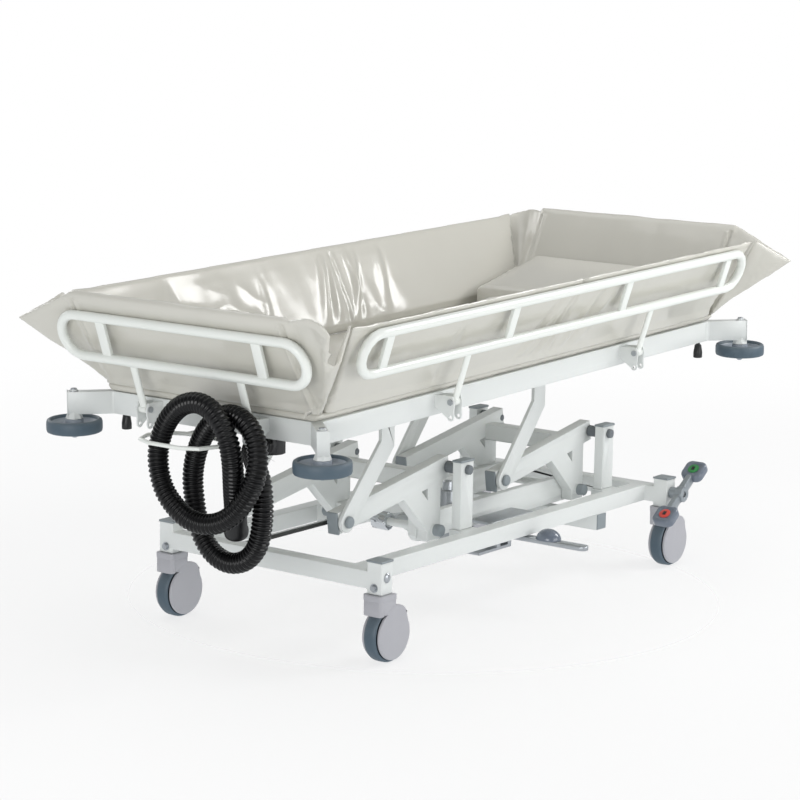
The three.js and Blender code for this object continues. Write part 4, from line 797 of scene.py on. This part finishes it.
def soft_form(name, node, voxel, smooth_steps, pressure=4.0, frames=20, cap=0.006, edit=None):
    mesh = merged_copy(node, flat=0)
    piece = mesh_object(name, edit(mesh) if edit else mesh)
    remesh = piece.modifiers.new("even_faces", "REMESH")
    remesh.mode = "VOXEL"
    remesh.voxel_size = voxel
    relax = piece.modifiers.new("relax", "SMOOTH")
    relax.factor = 0.5
    relax.iterations = smooth_steps
    apply_all(piece)
    rest = points_of(piece)
    if frames:
        cloth = piece.modifiers.new("stuffing", "CLOTH")
        cloth.settings.use_pressure = True
        cloth.settings.uniform_pressure_force = pressure
        cloth.settings.quality = 4
        cloth.settings.mass = 0.4
        cloth.settings.tension_stiffness = 12
        cloth.settings.bending_stiffness = 0.6
        cloth.settings.effector_weights.gravity = 0
        cloth.collision_settings.use_collision = False
        cloth.point_cache.frame_start = 1
        cloth.point_cache.frame_end = frames
        for step in range(1, frames + 1):
            bpy.context.scene.frame_set(step)
        apply_all(piece)
        bpy.context.scene.frame_set(1)
        moved = points_of(piece) - rest
        size = np.linalg.norm(moved, axis=1)
        moved *= (np.minimum(size, cap) / np.maximum(size, 1e-9))[:, None]
        move_points(piece, rest + moved)
        print(name, "swelled up to", round(float(size.max()) * 1000, 1), "mm before the cap")
    return piece


def sculpt(piece, push):
    normals = np.array([v.normal for v in piece.data.vertices])
    places = np.array([ON_TOP.inverted() @ v.co for v in piece.data.vertices]) * 1000
    heights = np.array([push(Vector(p), Vector(n)) for p, n in zip(places, normals)]) / 1000
    move_points(piece, points_of(piece) + normals * heights[:, None])


def reshape(piece, move):
    to_top = ON_TOP.inverted()
    move_points(piece, [ON_TOP @ (move((to_top @ v.co) * 1000) / 1000) for v in piece.data.vertices])


def ridge(distance, width):
    return math.exp(-(distance / width) ** 2)


def ease(value, low, high):
    t = min(1.0, max(0.0, (value - low) / (high - low)))
    return t * t * (3 - 2 * t)


def finish_soft(piece, material, body, nodes):
    piece.data.materials.clear()
    piece.data.materials.append(material)
    piece.data.shade_smooth()
    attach(piece, body)
    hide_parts(*nodes)
    return piece


print("soft form tools ready")

# %% [markdown]
# The two long walls crumple most: the far one shows its wet inside with deep upright creases and a fold,
# the near one shows its outside, with a deep welded seam near its middle, a faint one towards the drain
# and a line under its top edge. After the swelling, the points move along their normals: slanted wrinkles
# from stretched noise, a ridge for each listed crease (place, slope, width, height), a dent for each seam.

# %% Side walls
def wrinkles(p, amount, across, along, seed):
    q = Vector((p.x / across, p.z / along, seed))
    a = noise.noise(q)
    b = noise.noise(Vector((p.x / (across * 0.45), p.z / (along * 0.6), seed + 7)))
    return amount * (a + 0.45 * b)


def crease(x, z, at, slope, width, low, high):
    if not low < z < high:
        return 0.0
    fade = math.sin(math.pi * (z - low) / (high - low))
    return ridge(x - at - slope * (z - low), width) * fade


WALL_FOOT_Z = 20.6
WALL_THICK = 20
FAR_FOLD_X = 45
SEAM_X, FAINT_SEAM_X = 34, -420
HEM_Z = 198
FAR_CREASES = [(-262, 0.35, 16, 4.0), (-225, 0.1, 12, -3.0),
               (-60, 0.55, 15, 5.0), (-28, 0.45, 9, -4.5), (4, 0.30, 12, 5.0), (62, 0.62, 11, 6.5),
               (86, 0.5, 8, -5.0), (112, 0.1, 11, 5.0), (190, 0.4, 18, 4.5), (222, 0.3, 12, -3.0),
               (-600, 0.3, 20, 4.0), (-480, -0.25, 16, -4.0)]


def crumple(p, seed):
    a = 1 - 2 * abs(noise.noise(Vector((p.x / 120 + p.z / 170, p.z / 105, seed))))
    b = noise.noise(Vector((p.x / 55 + 5, p.z / 60, seed + 9)))
    return a + 0.35 * b - 0.6


def far_push(p, n):
    inside = 1.0 if n.y < 0 else 0.3
    h = wrinkles(p, 1.8, 110, 240, 3) * inside * (1.0 - 0.85 * ease(p.x, 200, 340))
    for at, slope, width, depth in FAR_CREASES:
        h += depth * inside * crease(p.x, p.z, at, slope, width, 25, 215)
    drain_part = ease(-p.x, 180, 330) * inside
    h += drain_part * (11.0 * crumple(p, 51) * ease(205 - p.z, 0, 90) + 15 * ridge(p.z - 22, 52))
    h += 4.0 * inside * ease(p.x, -80, 60) * ease(330 - p.x, 0, 150) * crumple(p, 77) * ridge(p.z - 70, 55)
    h -= 3.2 * ridge(p.x - FAR_FOLD_X - 0.12 * p.z, 3.6)
    h += 2.2 * ridge(p.x - (FAR_FOLD_X + 10) - 0.12 * p.z, 5.0)
    return h * ease(p.z, 22, 50) * ease(218 - p.z, 0, 40)


NEAR_CREASES = [(-135, 0.75, 10, -4.0), (-110, 0.7, 12, 5.0), (-70, 0.55, 9, 6.5), (-45, 0.45, 7, -6.0),
                (-22, 0.35, 8, 6.5), (0, 0.22, 7, -5.5), (60, 0.5, 10, 6.0), (88, 0.55, 9, -5.5),
                (130, 0.5, 14, 4.0), (-420, 0.3, 16, -3.0)]


def near_push(p, n):
    h = wrinkles(p, 2.0, 90, 150, 11)
    for at, slope, width, depth in NEAR_CREASES:
        h += depth * crease(p.x, p.z, at, slope, width, 18, 190)
    h -= 6.0 * ridge(p.x - SEAM_X - 0.04 * p.z, 3.0)
    h += 3.2 * ridge(p.x - (SEAM_X - 10) - 0.04 * p.z, 5.0)
    h -= 2.2 * ridge(p.x - FAINT_SEAM_X - 0.05 * p.z, 3.0)
    h -= 1.5 * ridge(p.z - HEM_Z, 3.5)
    if n.y > 0:
        h += wrinkles(p, 2.4, 60, 200, 5) + 10 * ridge(p.z - 22, 45)
    return h * ease(p.z, 22, 50)


def far_reach(p):
    lean = ease(p.x, 560, 830) * (p.z - 20) / 190
    return p + Vector((58 * lean, 0, 0)) if p.z > 20 else p


WALL_UP = Vector((0, 0.479, 0.878))
WALL_FOOT = Vector((0, 297, WALL_FOOT_Z))
SEAT_Z = 17.0


def seated(p):
    t = ease(36 - p.z, 0, 9)
    return Vector((p.x, p.y, p.z + t * (SEAT_Z - p.z)))


def thinned(p, keep_outside):
    side = 1 if p.y > 0 else -1
    out = Vector((0, WALL_UP.z, -WALL_UP.y))
    flat = Vector((p.x, side * p.y, p.z))
    inward = -(flat - WALL_FOOT).dot(out)
    share = 0.55 * ease(p.z, 150, 206)
    shift = inward * share if keep_outside else -(WALL_THICK - inward) * share
    flat += out * shift
    return Vector((flat.x, side * flat.y, flat.z))


for side, push in (("far", far_push), ("near", near_push)):
    wall = soft_form(f"liner_side_{side}", f"liner_wall_{side}", 0.0055, 3, cap=0.004, frames=12)
    reshape(wall, lambda p: thinned(seated(p), side == "near"))
    if side == "far":
        reshape(wall, far_reach)
    sculpt(wall, push)
    finish_soft(wall, vinyl, f"wall_{side}", [f"liner_wall_{side}"])
    print(wall.name, len(wall.data.polygons))

# %% [markdown]
# The end walls carry the corner ears, where the sheet runs past the wall and is folded out to a point.
# Two corners are folded differently: at the near drain corner the sheet is tucked into a pleat with a
# rounded flap, and at the far head corner it is turned in a round. For these the CAD ear is cut off and a
# new sheet is drawn: a row of points along its top edge, joined by a curve, and drawn in to the corner.
# The other two corners keep their ear, and a plain web closes the gap from its tip to the side wall.

# %% Folded corner sheets
PLEAT = [(926, 303, 226), (931, 334, 237), (938, 364, 242), (942, 392, 240), (942, 412, 229), (938, 419, 216),
         (930, 410, 200), (920, 397, 180), (908, 388, 162), (893, 389, 146), (880, 397, 139), (873, 405, 145),
         (868, 406, 157), (860, 405, 178), (850, 408, 203), (839, 411, 223)]
TURN = [(926, 303, 226), (936, 330, 228), (937, 356, 226), (928, 380, 221), (912, 396, 215), (893, 402, 207)]
WEB = [(914, 446, 168), (884, 431, 187), (835, 404, 216)]
CORNER_LOW = [Vector((806, 300, 22)), Vector((797, 301, 22))]


EAR_CUT_Y = 306


def corner_sheet(crest, sx, sy, thick=7.0, rows=18, rounding=0.0):
    top_line, _ = even_steps(catmull_points([Vector(p) for p in crest], 10), 60)
    mesh = bmesh.new()
    grid = []
    for j in range(rows + 1):
        v = j / rows
        row = []
        for i, q in enumerate(top_line):
            u = i / (len(top_line) - 1)
            low = CORNER_LOW[0].lerp(CORNER_LOW[1], u)
            p = low.lerp(q, v)
            p += Vector((1, 0.6, 0)) * rounding * math.sin(math.pi * v) * math.sin(math.pi * u)
            row.append(Vector((sx * p.x, sy * p.y, p.z)))
        grid.append(row)
    verts = [[mesh.verts.new(p) for p in row] for row in grid]
    for j in range(rows):
        for i in range(len(top_line) - 1):
            mesh.faces.new((verts[j][i], verts[j][i + 1], verts[j + 1][i + 1], verts[j + 1][i]))
    bmesh.ops.recalc_face_normals(mesh, faces=mesh.faces)
    bmesh.ops.solidify(mesh, geom=mesh.faces[:], thickness=thick)
    bmesh.ops.recalc_face_normals(mesh, faces=mesh.faces)
    bmesh.ops.transform(mesh, matrix=TOP_MM, verts=mesh.verts)
    return mesh


def folded(sx, sy, crest, rounding):
    def edit(mesh):
        bmesh.ops.bisect_plane(mesh, geom=mesh.verts[:] + mesh.edges[:] + mesh.faces[:],
                               plane_co=top_point(0, sy * EAR_CUT_Y, 0), plane_no=(0, sy, 0),
                               clear_outer=True)
        bmesh.ops.holes_fill(mesh, edges=[e for e in mesh.edges if e.is_boundary], sides=0)
        bmesh.ops.recalc_face_normals(mesh, faces=mesh.faces)
        return join([mesh, corner_sheet(crest, sx, sy, rounding=rounding), corner_sheet(WEB, sx, -sy)])
    return edit


EAR_CREASE_Y = 293
END_TOP_Z = 222


def end_push(p, n):
    far_out = max(0.0, abs(p.y) - 290)
    h = wrinkles(p, 1.1, 120, 120, 17)
    h += 1.5 * wrinkles(Vector((p.y * 0.9, 0, p.z)), 1.0, 60, 160, 23)
    h -= 6.0 * ridge(abs(p.y) - EAR_CREASE_Y, 3.4) if p.z < END_TOP_Z else 0
    h += 3.0 * ridge(abs(p.y) - (EAR_CREASE_Y - 9), 4.5) if p.z < END_TOP_Z else 0
    if far_out:
        h += 1.6 * noise.noise(Vector((p.y / 40, p.z / 30, 31 + p.x / 60)))
    return h * ease(p.z, 20, 40)


END_SLOPE = 0.5
END_FOOT = 812.0


def end_seat(p):
    q = seated(p) if abs(p.y) < 300 else p
    if p.x < 0:
        inside = END_FOOT + END_SLOPE * (p.z - WALL_FOOT_Z) + p.x
        share = 0.5 * ease(p.z, 170, END_TOP_Z) * ease(298 - abs(p.y), 0, 16)
        q = q + Vector((-inside * share, 0, 0)) if inside > 0 else q
    return q


corners = {"head": folded(1, 1, TURN, 10.0), "drain": folded(-1, -1, PLEAT, 5.0)}
for end, body in (("head", "wall_head"), ("drain", "top")):
    wall = soft_form(f"liner_tail_{end}", f"liner_end_{end}", 0.004, 9, cap=0.003, pressure=2.5,
                     frames=10, edit=corners[end])
    reshape(wall, end_seat)
    sculpt(wall, end_push)
    finish_soft(wall, vinyl, body, [f"liner_end_{end}"])
    print(wall.name, len(wall.data.polygons))

# %% [markdown]
# The floor pad and the wedge pillow are firm foam in the same fabric. Their tops stay nearly flat and
# their edges round over. The pad has shallow dents across it and is drawn in under its long edges; the
# pillow has a welded line a little way down its sides.

# %% Floor pad and pillow
PAD_DENTS_X = (-540, -270, 0, 270)
PILLOW_WELD_Z = 50


def floor_push(p, n):
    h = wrinkles(Vector((p.x, 0, p.y)), 0.7, 160, 140, 41) if n.z > 0.5 else 0.0
    for at in PAD_DENTS_X:
        h -= 0.9 * ridge(p.x - at, 5.0) if n.z > 0.5 else 0.0
    return h


def pillow_push(p, n):
    h = wrinkles(Vector((p.x, 0, p.y)), 0.8, 110, 120, 47)
    if abs(n.z) < 0.6:
        h -= 1.0 * ridge(p.z - PILLOW_WELD_Z, 3.0)
    return h


def undercut(p):
    drawn_in = 8.0 * ease(10 - p.z, 0, 7) * ease(abs(p.y), 280, 296)
    return Vector((p.x, p.y - math.copysign(drawn_in, p.y), p.z))


pad = soft_form("liner_floor_pad", "liner_floor", 0.005, 1, frames=0)
reshape(pad, undercut)
sculpt(pad, floor_push)
finish_soft(pad, vinyl, "top", ["liner_floor"])
pillow = soft_form("liner_wedge_pillow", "liner_pillow", 0.006, 4, cap=0.003, pressure=3.0, frames=14)
sculpt(pillow, pillow_push)
finish_soft(pillow, vinyl, "top", ["liner_pillow"])
print("pad", len(pad.data.polygons), "pillow", len(pillow.data.polygons))

# %% [markdown]
# Small parts finish the frame: grey caps on the posts and uprights, plugs in the open arm ends, bolt
# heads and washers. Each is a bevelled box or a spun profile that covers the plain form of the solid
# under it.

# %% Caps, plugs and bolts
def cap_block(x, y, z, wx, wy, high, place, rounding=1.6):
    return bar(x - wx / 2, x + wx / 2, y - wy / 2, y + wy / 2, z, z + high, place, rounding, 3)


caps = [cap_block(sx * POST_X, sy * POST_Y, 227.6, 43, 43, 5.0, BASE_MM) for _, sx, sy in CORNERS]
caps += [cap_block(x, sy * MAST_Y, 366.0, 53, 28, 5.2, BASE_MM) for x in MAST_XS for _, sy in SIDES]
make_piece("post_caps", join(caps), cap_plastic, "base", smooth=30)

HEX_BOLT = [(0, 0), (6.2, 0), (7.0, 0.5), (7.0, 4.6), (6.2, 5.2), (0, 5.2)]
WASHER_BOLT = [(0, 0), (10, 0), (10, 1.4), (7, 1.4), (7, 6.0), (6.3, 6.8), (0, 6.8)]
CRANK_CAP = [(0, 155), (13.8, 155), (14.2, 156), (14.2, 171), (12.6, 173.2), (0, 173.2)]
HANGER_CAP = [(0, 162), (13.6, 162), (13.6, 166.5), (11.5, 169.4), (6, 170.2), (0, 170.4)]
WHEEL_DOME = [(0, -104.5), (4.5, -104), (8, -101), (9.4, -97.5), (9.6, -91.6), (0, -91.6)]
MAST_PIVOT_Z = 348
ARM_RUN, ARM_DROP = 391.3, 65.4
ARM_ANGLE = math.atan2(ARM_DROP, ARM_RUN)
CRANK_BACK, CRANK_Z = 51.4, 206.1
PLUG_Y = (118.8, 148.6)
LOW_TUBE_X, LOW_TUBE_Y, LOW_TUBE_Z = (351.8, 390.2), (255.4, 258.6), (128.3, 166.7)
OUTRIGGER_RUN = (67.0, 69.5)
BRACKET_FACE = 14.9


def mirrored(sy, span):
    return sorted(sy * y for y in span)


def bolt(at, direction, place, profile=HEX_BOLT, sides=24):
    return spun(profile, sides, place @ facing(at, direction))


for side, x in zip(("left", "right"), MAST_XS):
    arm = BASE_MM @ Matrix.Translation((x, 0, MAST_PIVOT_Z)) @ Matrix.Rotation(-ARM_ANGLE, 4, "Y")
    bosses = []
    for _, sy in SIDES:
        bosses.append(bar(-419.4, -414.2, *mirrored(sy, PLUG_Y), -25.6, 25.6, arm, 1.4, 3))
        bosses.append(bolt((x - CRANK_BACK, 0, CRANK_Z), (0, sy, 0), BASE_MM, CRANK_CAP, 36))
        bosses.append(bolt((x - ARM_RUN, 0, MAST_PIVOT_Z - ARM_DROP), (0, sy, 0), BASE_MM, HANGER_CAP, 36))
    make_piece(f"arm_plugs_{side}", join(bosses), cap_plastic, f"lift_{side}")

plugs = [bar(*LOW_TUBE_X, *mirrored(sy, LOW_TUBE_Y), *LOW_TUBE_Z, BASE_MM, 1.2, 3) for _, sy in SIDES]
make_piece("low_tube_plugs", join(plugs), cap_plastic, "base")

plates, domes, wheel_bolts = [], [], []
for _, sx, sy in CORNERS:
    hub = TOP_MM @ Matrix.Translation((sx * BUMPER_X, sy * BUMPER_Y, 0))
    place = hub @ Matrix.Rotation(math.atan2(sy * OUTRIGGER_RUN[1], sx * OUTRIGGER_RUN[0]), 4, "Z")
    plates.append(bar(-84, 13.4, -12.75, 12.75, -50.3, 0.28, place, 1.0))
    plates.append(bar(13.2, 15.4, -13.6, 13.6, -52.0, 1.6, place, 0.7))
    domes.append(spun(WHEEL_DOME, 32, hub))
    wheel_bolts.append(bolt((0, 0, 0.2), (0, 0, 1), hub, WASHER_BOLT))
make_piece("outrigger_end_plates", join(plates), paint, "top")
make_piece("bumper_nut_domes", join(domes), rim_plastic, "top")

brackets = []
for s, t, way in itertools.product((-1, 1), (-1, 1), (1, -1)):
    along = t * SIDE_LEG_X + way * BRACKET_FACE
    brackets.append(bolt((along, s * SIDE_PIVOT_Y, GUARD_PIVOT_Z), (way, 0, 0), TOP_MM))
for s, t, way in itertools.product((-1, 1), (-1, 1), (1, -1)):
    along = t * END_LEG_Y + way * BRACKET_FACE
    brackets.append(bolt((s * END_PIVOT_X, along, GUARD_PIVOT_Z), (0, way, 0), TOP_MM))
make_piece("bracket_bolts", join(brackets), zinc, "top")
stem_bolts = [bolt((-615, sy * POST_Y, 172), (-1, 0, 0), BASE_MM, WASHER_BOLT) for sy in (-1, 1)]
make_piece("bumper_bolts", join(wheel_bolts), zinc, "top")
make_piece("stem_bolts", join(stem_bolts), zinc, "base")
print("caps", len(caps), "bolts", len(brackets))

# %% [markdown]
# The object stands on a plain pale floor under soft studio light. The floor is a matt disc that fades
# out into a white world, so no horizon shows, and it keeps the shadow. The camera sees that white, also
# through the clear part of the floor. All other rays see a cove that is nearly white at the horizon and
# darker overhead: it fills the shadows softly and gives the gloss something to reflect.

# %% Floor, world and lamps
def smooth_range(tree, value, from_min, from_max, to_min, to_max):
    node = tree.nodes.new("ShaderNodeMapRange")
    node.interpolation_type = "SMOOTHSTEP"
    node.inputs["From Min"].default_value, node.inputs["From Max"].default_value = from_min, from_max
    node.inputs["To Min"].default_value, node.inputs["To Max"].default_value = to_min, to_max
    tree.links.new(value, node.inputs["Value"])
    return node.outputs["Result"]


def mix_shaders(tree, factor, first, second, output):
    mixer = tree.nodes.new("ShaderNodeMixShader")
    for socket, source in zip(mixer.inputs, (factor, first.outputs[0], second.outputs[0])):
        tree.links.new(source, socket)
    tree.links.new(mixer.outputs[0], tree.nodes[output].inputs["Surface"])


floor_mesh = bmesh.new()
bmesh.ops.create_circle(floor_mesh, cap_ends=True, segments=96, radius=9.0,
                        matrix=Matrix.Translation((0, 0, -0.0005)))
floor = mesh_object("studio_floor", floor_mesh)
floor_finish = bpy.data.materials.new("studio_floor_white")
floor_finish.use_nodes = True
tree = floor_finish.node_tree
matt = tree.nodes["Principled BSDF"]
matt.inputs["Base Color"].default_value = (0.95, 0.95, 0.95, 1)
matt.inputs["Roughness"].default_value = 0.6
matt.inputs["Specular IOR Level"].default_value = 0.2
clear = tree.nodes.new("ShaderNodeBsdfTransparent")
coordinates = tree.nodes.new("ShaderNodeTexCoord")
length = tree.nodes.new("ShaderNodeVectorMath")
length.operation = "LENGTH"
tree.links.new(coordinates.outputs["Object"], length.inputs[0])
fade = smooth_range(tree, length.outputs["Value"], 0.6, 3.8, 0.74, 1.0)
mix_shaders(tree, fade, matt, clear, "Material Output")
floor.data.materials.append(floor_finish)

world = bpy.data.worlds.new("studio_world")
bpy.context.scene.world = world
world.use_nodes = True
tree = world.node_tree
seen = tree.nodes["Background"]
seen.inputs["Color"].default_value = (1, 1, 1, 1)
seen.inputs["Strength"].default_value = 1.0
ambient = tree.nodes.new("ShaderNodeBackground")
ambient.inputs["Color"].default_value = (0.96, 0.98, 1.0, 1)
direction = tree.nodes.new("ShaderNodeTexCoord")
height = tree.nodes.new("ShaderNodeSeparateXYZ")
tree.links.new(direction.outputs["Generated"], height.inputs[0])
cove = smooth_range(tree, height.outputs["Z"], -0.35, 0.55, 0.94, 0.3)
tree.links.new(cove, ambient.inputs["Strength"])
path = tree.nodes.new("ShaderNodeLightPath")
rays = math_node(tree, "ADD", path.outputs["Is Camera Ray"], path.outputs["Is Transmission Ray"], True)
mix_shaders(tree, rays, ambient, seen, "World Output")


def softbox(name, at, target, wide, high, power):
    light = bpy.data.lights.new(name, "AREA")
    light.shape = "RECTANGLE"
    light.size, light.size_y = wide, high
    light.energy = power
    lamp = new_object(name, light)
    lamp.matrix_world = facing(at, Vector(at) - Vector(target))


softbox("overhead_softbox", (-0.3, 0.4, 3.6), (0, 0, 0.3), 4.0, 3.0, 46)
softbox("front_softbox", (0.3, -4.2, 1.1), (0.1, 0, 0.6), 3.4, 1.6, 55)
softbox("left_softbox", (-4.4, -1.2, 1.0), (-0.2, 0, 0.5), 2.4, 1.6, 54)
softbox("streak_softbox", (2.0, -1.7, 2.2), (-0.3, 0.3, 0.7), 1.0, 1.2, 38)
softbox("back_softbox", (0.5, 3.8, 2.2), (0, 0, 0.6), 3.0, 1.6, 30)
bpy.context.scene.view_settings.view_transform = "Standard"
